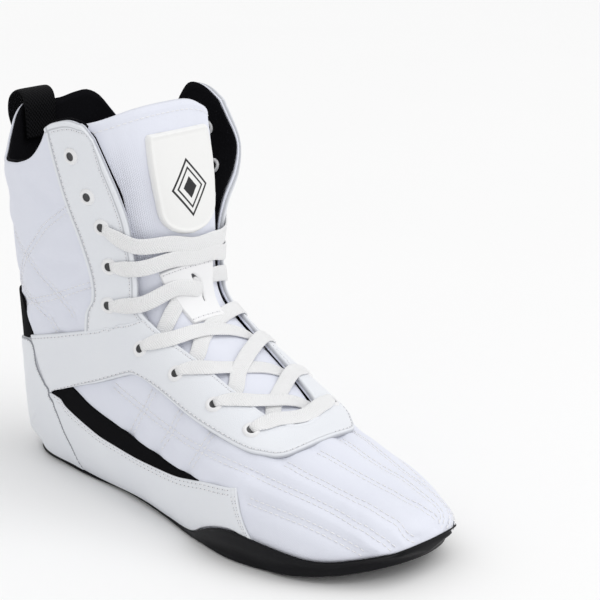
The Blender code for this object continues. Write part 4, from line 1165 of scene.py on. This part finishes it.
# Eyelets: white enamelled brass grommets, pressed through the leather, the cloth and the lining, with a
# flange outside, a barrel through the wall and a washer inside.
EYELETS = [
    (23.51, 0.870), (22.19, 0.878), (21.05, 0.897), (19.37, 0.900), (17.55, 0.878),
    (12.45, 0.883), (10.57, 0.870), (9.17, 0.844), (7.99, 0.830),
]
EYELET_RADIUS = 4.9
EYELET_SEAT = 1.4
EYELET_HEIGHT = 1.9
BARREL = -3.2
EYELET_SIDES = 40
# Profile of an eyelet from the middle of its hole: radius, height above the last, darkness (painted shade in
# the bore, and partly the black lining seen through it)
PROFILE = np.array([(0.0, 2.4, 1), (1.2, 2.4, 1), (2.2, 2.4, 1), (2.3, 2.55, 0.9),
                    (2.4, EYELET_SEAT + 1.4, 0.3), (2.7, EYELET_SEAT + 1.75, 0),
                    (3.3, EYELET_SEAT + EYELET_HEIGHT, 0), (4.1, EYELET_SEAT + 1.5, 0),
                    (4.7, EYELET_SEAT + 0.8, 0), (EYELET_RADIUS, 0.8, 0),
                    (4.0, 0.2, 0), (2.6, 0.0, 0), (2.5, BARREL + 0.5, 0), (4.2, BARREL + 0.5, 0),
                    (4.3, BARREL + 0.1, 0), (3.6, BARREL - 0.4, 0), (2.8, BARREL - 0.3, 0),
                    (2.2, BARREL, 0.3), (2.15, -1.5, 1), (0.0, -1.5, 1)])
eyelet_finish, wire = finish("white_enamel", {"Specular IOR Level": 0.5, "Coat Weight": 0.3})
chip = object_noise(wire, 300.0)
# Painted shade: the bore's two caps and the top of its inner wall go nearly black, partly for the black
# lining seen through the hole
feed(eyelet_finish, {
    "Base Color": wire.mark("bore_shade").step(0.2, 0.9).tint((0.84, 0.84, 0.85), (0.02, 0.02, 0.022)),
    "Roughness": chip * 0.15 + 0.25,
})
angle = turns(EYELET_SIDES)


def eyelet_axes(s, v, side):
    """Middle of an eyelet on the last, its normal, and two directions in its flange."""
    normal = outward(s, v, side)
    along = skin(s + SMALL_ROW, v, side) - skin(s - SMALL_ROW, v, side)
    first = unit(along - normal * (along @ normal))
    return skin(s, v, side), normal, first, np.cross(normal, first)


for side, word in ((LATERAL, "lateral"), (MEDIAL, "medial")):
    for number, (row, share) in enumerate(EYELETS, 1):
        middle_point, normal, first, second = eyelet_axes(row, share, np.array(side))
        spoke = np.cos(angle)[:, None] * first + np.sin(angle)[:, None] * second
        radius, height, dark = PROFILE.T
        points = middle_point + radius[:, None, None] * spoke + height[:, None, None] * normal
        name = f"eyelet_{word}_{number}"
        piece(name, points, quads(len(PROFILE), EYELET_SIDES, ring=True), eyelet_finish,
              (name,), None, {"bore_shade": np.repeat(dark[:, None], EYELET_SIDES, 1)})

# Lace: one flat woven cotton lace, 9 mm wide, in straight bars at both ends and crossings between. It
# comes up through each eyelet, runs over the throat's edge, and dives under the far edge.
LACE_WIDTH = 8.8
LACE_THICKNESS = 1.2
LACE_LIFT = 3.0
# Straight bars: rows that the middle sags by, and its height; shares of that sag from eyelet to eyelet
STRAIGHT_BARS = {3: (2.05, 0.5), 4: (1.2, 0.5), 9: (0.4, 2.0)}
SAG_OUT = (0.0, 0.02, 0.25, 0.5)
SAG_ACROSS = (0.8, 1.0, 0.97)
SAG_BACK = (0.0, 0.0, 0.35, 0.72)
# Crossings: heights across the throat, and the parts of the way made at the flap and at its edge
CROSSINGS = [5, 6, 7, 8]
FAR_OVER = [7]
OVER_LIFTS = (0.6, 0.6, -0.4)
UNDER_LIFTS = (-0.8, -0.8, -0.8)
LEAD = {LATERAL: (0.2, 0.45), MEDIAL: (0.05, 0.12)}
KEEPER_LIFTS = (0.8, 0.4, -3.4)
KEEPER_LEAD = (0.1, 0.25)
KEEPER_END = (12.3, 0.883)
LACE_TUCK = 7.0
LACE_SAMPLES = 90
LACE_SIDES = 16
LACE_SQUARE = (0.4, 0.8)
lace_finish, wire = finish("white_woven_lace", {"Specular IOR Level": 0.2, "Sheen Weight": 0.35})
across_lace, along_lace = wire.chart()
chevron = (along_lace + across_lace.size() * 0.9) * (2 * np.pi / 1.3)
rib = chevron.sine() * (across_lace * (2 * np.pi / 0.9)).sine()
feed(lace_finish, {
    "Base Color": rib.step(-1.0, 0.6).tint((0.88, 0.885, 0.90), (0.95, 0.95, 0.95)),
    "Roughness": rib * 0.05 + 0.8,
    "Normal": rib.bump(0.3, 0.6),
})


def lace_keys(start, end, side, lifts, lead, sag=0.0):
    """Knots of one lace: out of its eyelet, over the edge, across at three lifts, into the far side."""
    (s0, v0), (s1, v1) = start, end
    gap0, gap1 = [float(stations(s)["gap"]) for s in (s0, s1)]
    side, far = np.array(side), np.array(-side)
    keys = []

    def key(point, normal, spread):
        keys.append(np.concatenate([point, normal, [spread]]))

    def at_eyelet(s, v, side, toward, falls, order):
        """Four knots between an eyelet and the throat's edge: under the flange, over it, and on the flap."""
        knots = [(0.0, v, -1.0, 0.45), (0.02, v + 0.012, 2.8, 0.55),
                 (lead[0], v + (1 - v) * 0.5, LACE_LIFT, 0.95), (lead[1], 1.0, LACE_LIFT, 1.0)]
        for (part, share, lift, spread), fall in list(zip(knots, falls))[::order]:
            row = s + toward * part - sag * fall
            key(raised(row, share, side, lift), outward(row, min(share, 0.97), side), spread)

    at_eyelet(s0, v0, side, s1 - s0, SAG_OUT, 1)
    for part, lift, fall in zip((0.3, 0.5, 0.7), lifts, SAG_ACROSS):
        s = s0 + (s1 - s0) * (lead[1] + (1 - lead[1]) * part) - sag * fall
        y = side * (gap0 + (gap1 - gap0) * part) * (1 - 2 * part)
        key(lid(s, y) + lift * lid_normal(s, y), lid_normal(s, y), 1.0)
    if start == end:
        at_eyelet(s1, v1, far, 0.0, SAG_BACK, -1)
    else:
        for tuck, drop in ((-1.0, -1.6), (LACE_TUCK, -3.2)):
            s = s0 + (s1 - s0) * (1.0 + 0.01 * tuck)
            y = far * (gap1 + tuck - 2.0)
            drop = min(drop, lifts[-1])
            key(lid(s, y) + drop * lid_normal(s, y), lid_normal(s, y), 1.0)
    return np.array(keys)


def lace_ribbon(keys):
    """A flat tube along the curve through some knots: a rounded oblong section, narrowed by the spread."""
    chord = run_along(keys[:, :3])
    at = np.linspace(0, chord[-1], LACE_SAMPLES)
    fields = np.stack([curve(at, chord, keys[:, k]) for k in range(7)], -1)
    path, normal, spread = fields[:, :3], fields[:, 3:6], np.clip(fields[:, 6:], 0.4, 1.0)
    ahead = unit(np.gradient(path, axis=0))
    aside = unit(np.cross(ahead, normal))
    up = np.cross(aside, ahead)
    flat, thick = oblong(LACE_SIDES, *LACE_SQUARE)
    flat = flat * LACE_WIDTH / 2 * spread
    thick = thick * LACE_THICKNESS / 2 / np.sqrt(spread)
    points = path[:, None] + flat[..., None] * aside[:, None] + thick[..., None] * up[:, None]
    return points, np.stack([flat, np.repeat(at[:, None], LACE_SIDES, 1)], -1)


def lace_piece(name, runs):
    """One or two ribbons as one mesh, with closed ends."""
    points, chart = [np.stack(part) for part in zip(*[lace_ribbon(keys) for keys in runs])]
    faces = []
    for number in range(len(runs)):
        faces += tube_faces(LACE_SAMPLES, LACE_SIDES, number * LACE_SAMPLES * LACE_SIDES)
    return piece(name, points, faces, lace_finish, (name,), chart)


for number, (sag, lift) in STRAIGHT_BARS.items():
    place = EYELETS[number - 1]
    keys = lace_keys(place, place, LATERAL, (lift, lift, lift), LEAD[LATERAL], sag)
    lace_piece(f"lace_bar_{number}", [keys])
for number in CROSSINGS:
    start, end = EYELETS[number - 1], EYELETS[number]
    over, under = (UNDER_LIFTS, OVER_LIFTS) if number in FAR_OVER else (OVER_LIFTS, UNDER_LIFTS)
    near = lace_keys(start, end, LATERAL, over, LEAD[LATERAL])
    if number == CROSSINGS[0]:
        near = lace_keys(start, KEEPER_END, LATERAL, KEEPER_LIFTS, KEEPER_LEAD)
    lace_piece(f"lace_cross_{number}", [near, lace_keys(start, end, MEDIAL, under, LEAD[MEDIAL])])

# Pull loop: black nylon webbing, doubled over the top of the back seam and sewn down outside and in.
LOOP_WIDTH = 22.0
LOOP_THICKNESS = 1.6
LOOP_SQUARE = (0.35, 0.6)
LOOP_STEPS = 80
LOOP_SIDES = 32
LOOP_PATH = [(-14.3, 172.0), (-15.6, 176.5), (-20.5, 184.0), (-24.0, 193.0), (-22.5, 202.0), (-16.0, 207.0),
             (-10.5, 205.5), (-8.2, 200.0), (-8.0, 190.0), (-7.6, 180.0)]
webbing_finish, wire = finish("black_webbing", {"Specular IOR Level": 0.1})
across_tape, along_tape = wire.chart()
cords = (across_tape * np.pi).sine() * (along_tape * 2.5).sine()
feed(webbing_finish, {
    "Base Color": cords.step(-1.0, 1.0).tint((0.002, 0.002, 0.003), (0.006, 0.006, 0.007)),
    "Roughness": cords * 0.1 + 0.65,
    "Normal": cords.bump(0.3, 0.8),
})
path = through(LOOP_PATH, LOOP_STEPS)
ahead = unit(np.gradient(path, axis=0))
side_way = np.stack([-ahead[:, 1], ahead[:, 0]], -1)
flat, thick = oblong(LOOP_SIDES, *LOOP_SQUARE)
flat = np.repeat(flat[None] * LOOP_WIDTH / 2, LOOP_STEPS, 0)
edge_line = path[:, None] + (thick * LOOP_THICKNESS / 2)[None, :, None] * side_way[:, None]
points = np.stack([edge_line[..., 0], flat, edge_line[..., 1]], -1)
piece("pull_loop", points, tube_faces(LOOP_STEPS, LOOP_SIDES), webbing_finish,
      ("pull_loop",), np.stack([flat, run_along(points)], -1))

# Outsole: one thin moulding of black rubber, a tread plate with a wall that stands up round the ball
# and the toe, cemented to the lasted upper.
HEEL_REACH = 34.0
TOE_START = 228.0
TOE_REACH = 57.0
SOLE_LENGTH = TOE_START + TOE_REACH
TOE_ROUND = 2.1
EDGE_INSET = 3.0
EDGE_RISE = 1.4
OUTLINE_X = [HEEL_REACH, 60, 100, 140, 175, 205, TOE_START]
OUTLINE_HALF = [31.5, 33.0, 32.5, 38.5, 47.5, 52.0, 49.5]
RIM_X = [0, 40, 75, 150, 166, 173, 180, 186, 192, 200, 210, 220, 232, 243, 250, 260, 270, 290]
RIM_HEIGHT = [1.7, 1.7, 0.4, 0.4, 0.4, 0.7, 4.2, 7.1, 9.6, 11.8, 12.8, 11.9, 10.3, 7.8, 5.8, 4.4, 4.4, 4.8]
RIM_FACE_X = [0, 150, 180, 235, 262, 278, 285]
RIM_INNER = [0.8, 0.8, 1.2, 1.1, 0.9, 0.3, -0.3]
RIM_OUTER = [1.7, 1.7, 3.2, 2.6, 2.0, 1.4, 0.8]
# Lines round the wall: part of its height, and the rows where they cross the heel seam and the toe
WALL_LINES = {"foot": (0.0, 16.06, 3.0), "middle": (0.5, 16.079, 2.44), "top": (1.0, 16.1435, 1.95)}
HEEL_TURN = 15.5
SOLE_STEPS = 150
SOLE_COLUMNS = 41
NOMINAL_HALF = 45.0
CREST = 0.35


def sole_half(x):
    """Half width of the sole: an ellipse at the heel, a table along the foot, a round toe."""
    heel = np.sqrt(np.clip(1 - ((HEEL_REACH - x) / HEEL_REACH)**2, 0, 1))
    toe = np.sqrt(1 - np.clip((x - TOE_START) / TOE_REACH, 0, 1)**TOE_ROUND)
    ends = np.where(x < HEEL_REACH, OUTLINE_HALF[0] * heel, OUTLINE_HALF[-1] * toe)
    return np.where((x < HEEL_REACH) | (x > TOE_START), ends, curve(x, OUTLINE_X, OUTLINE_HALF))


def outline(x, side, inset_by, z):
    """The sole's outline at stations x, moved in by an inset."""
    half_length = SOLE_LENGTH / 2
    near = half_length + (x - half_length) * (1 - inset_by / half_length)
    half = sole_half(x) * (1 - inset_by / NOMINAL_HALF)
    return np.stack(np.broadcast_arrays(near, curve(x, CENTRE_X, CENTRE_Y) + side * half, z), -1)


def rim_share(s, side, part):
    """Girth share where each section crosses a part of the rubber wall's height."""
    points = skin(s[:, None], GIRTH[None, :], side)
    above = points[..., 2] - feather_height(points[..., 0]) - part * curve(points[..., 0], RIM_X, RIM_HEIGHT)
    hit = np.maximum(np.argmax(above >= -1e-6, axis=1), 1)
    row = np.arange(len(s))
    before, after = above[row, hit - 1], above[row, hit]
    return np.clip(GIRTH[hit - 1] + GIRTH[1] * before / (before - after), 0, 1)


def beside(line, side, distance):
    """A line round the wall moved out level, square to its run and straight out at its ends."""
    ahead = np.gradient(line[:, :2], axis=0)
    ahead[0], ahead[-1] = (0, side), (0, -side)
    out = side * unit(np.stack([-ahead[:, 1], ahead[:, 0]], -1))
    return line + distance * np.pad(out, ((0, 0), (0, 1)))


def wall_line(side, part, heel, tip, shares):
    """Points of a line round the rubber wall, at a part of its height and at shares of its own length."""
    rows = np.concatenate([np.linspace(heel, HEEL_TURN, 400), np.linspace(HEEL_TURN, tip, 1200)[1:]])
    line = skin(rows, rim_share(rows, side, part), side)
    run = run_along(line)
    return read_line(shares * run[-1], run, line)


rubber_finish, wire = finish("black_rubber", {"Specular IOR Level": 0.15})
scuff = object_noise(wire, 25.0, 5.0)
grain = object_noise(wire, 800.0, 2.0)
feed(rubber_finish, {
    "Base Color": scuff.tint((0.002, 0.002, 0.003), (0.006, 0.006, 0.008)),
    "Roughness": scuff * 0.2 + 0.36,
    "Normal": grain.bump(0.06, 0.5),
})
steps = (1 - np.cos(np.linspace(0, np.pi, SOLE_STEPS))) / 2
x = SOLE_LENGTH * steps
low = sole_bottom(x)
inner, outer = [curve(x, RIM_FACE_X, face)[:, None] for face in (RIM_INNER, RIM_OUTER)]
bands = []
for side in (LATERAL, MEDIAL):
    edge = outline(x, side, 0.0, low + EDGE_RISE)
    run = run_along(edge)
    wall = {}
    for level, (part, heel, tip) in WALL_LINES.items():
        line = wall_line(side, part, heel, tip, run / run[-1])
        if level == "foot":
            line[:, 2] = plate_top(x)
        wall[level + "_out"], wall[level + "_in"] = beside(line, side, outer), beside(line, side, inner)
    tread = outline(x, side, EDGE_INSET, low)
    a = np.linspace(0, np.pi / 2, 7)[:-1, None, None]
    level, rise = (edge - tread) * (1, 1, 0), (edge - tread) * (0, 0, 1)
    round_edge = tread + np.sin(a) * level + (1 - np.cos(a)) * rise
    knots = np.stack([edge, wall["foot_out"], wall["middle_out"], wall["top_out"]])
    face = through(knots.reshape(4, -1), 16).reshape(16, -1, 3)
    c = np.linspace(0, np.pi, 9)[1:-1, None, None]
    crest = (wall["top_out"] + wall["top_in"]) / 2 + np.cos(c) * (wall["top_out"] - wall["top_in"]) / 2
    crest = crest + CREST * np.sin(c) * np.array((0, 0, 1))
    inside = np.stack([wall["top_in"], wall["middle_in"], wall["foot_in"]])
    bands.append(np.concatenate([round_edge, face, crest, inside]))
ring = np.concatenate([bands[0], bands[1][:, -2:0:-1]], 1)
grid_across = np.linspace(0, 1, SOLE_COLUMNS)[None, :, None]
plate, tread = [bands[0][level][:, None] * (1 - grid_across) + bands[1][level][:, None] * grid_across
                for level in (-1, 0)]
levels, around = ring.shape[:2]
points = np.concatenate([ring.reshape(-1, 3), plate.reshape(-1, 3), tread.reshape(-1, 3)])
faces = np.concatenate([quads(levels, around, ring=True), quads(SOLE_STEPS, SOLE_COLUMNS, levels * around),
                        quads(SOLE_STEPS, SOLE_COLUMNS, levels * around + SOLE_STEPS * SOLE_COLUMNS)])
piece("outsole", points, faces, rubber_finish, ("outsole",))

# Insole: a black foam sock with a cloth face, laid loose on the plate inside the upper.
FEATHER_INSET = 2.6
INSOLE_THICKNESS = 3.5
INSOLE_RISE = 0.6
INSOLE_CLEAR = 3.0
INSOLE_ROUND = 2.0
insole_inset = FEATHER_INSET + WALL + INSOLE_CLEAR
x = SOLE_LENGTH * steps[4:-4, None]
across = crowded(SOLE_COLUMNS)[None, :, None]
left, right = [outline(x, side, insole_inset, plate_top(x) + INSOLE_RISE) for side in (LATERAL, MEDIAL)]
base = blend((left, right), across)
grid = {"base": base, "normal": np.broadcast_to((0.0, 0.0, 1.0), base.shape), **edges(base)}
face = fold_height(grid, INSOLE_THICKNESS, 0.0, INSOLE_ROUND)
piece("insole", two_layers(grid, face, np.zeros(face.shape)), shell_faces(*face.shape), lining_finish,
      ("insole",))
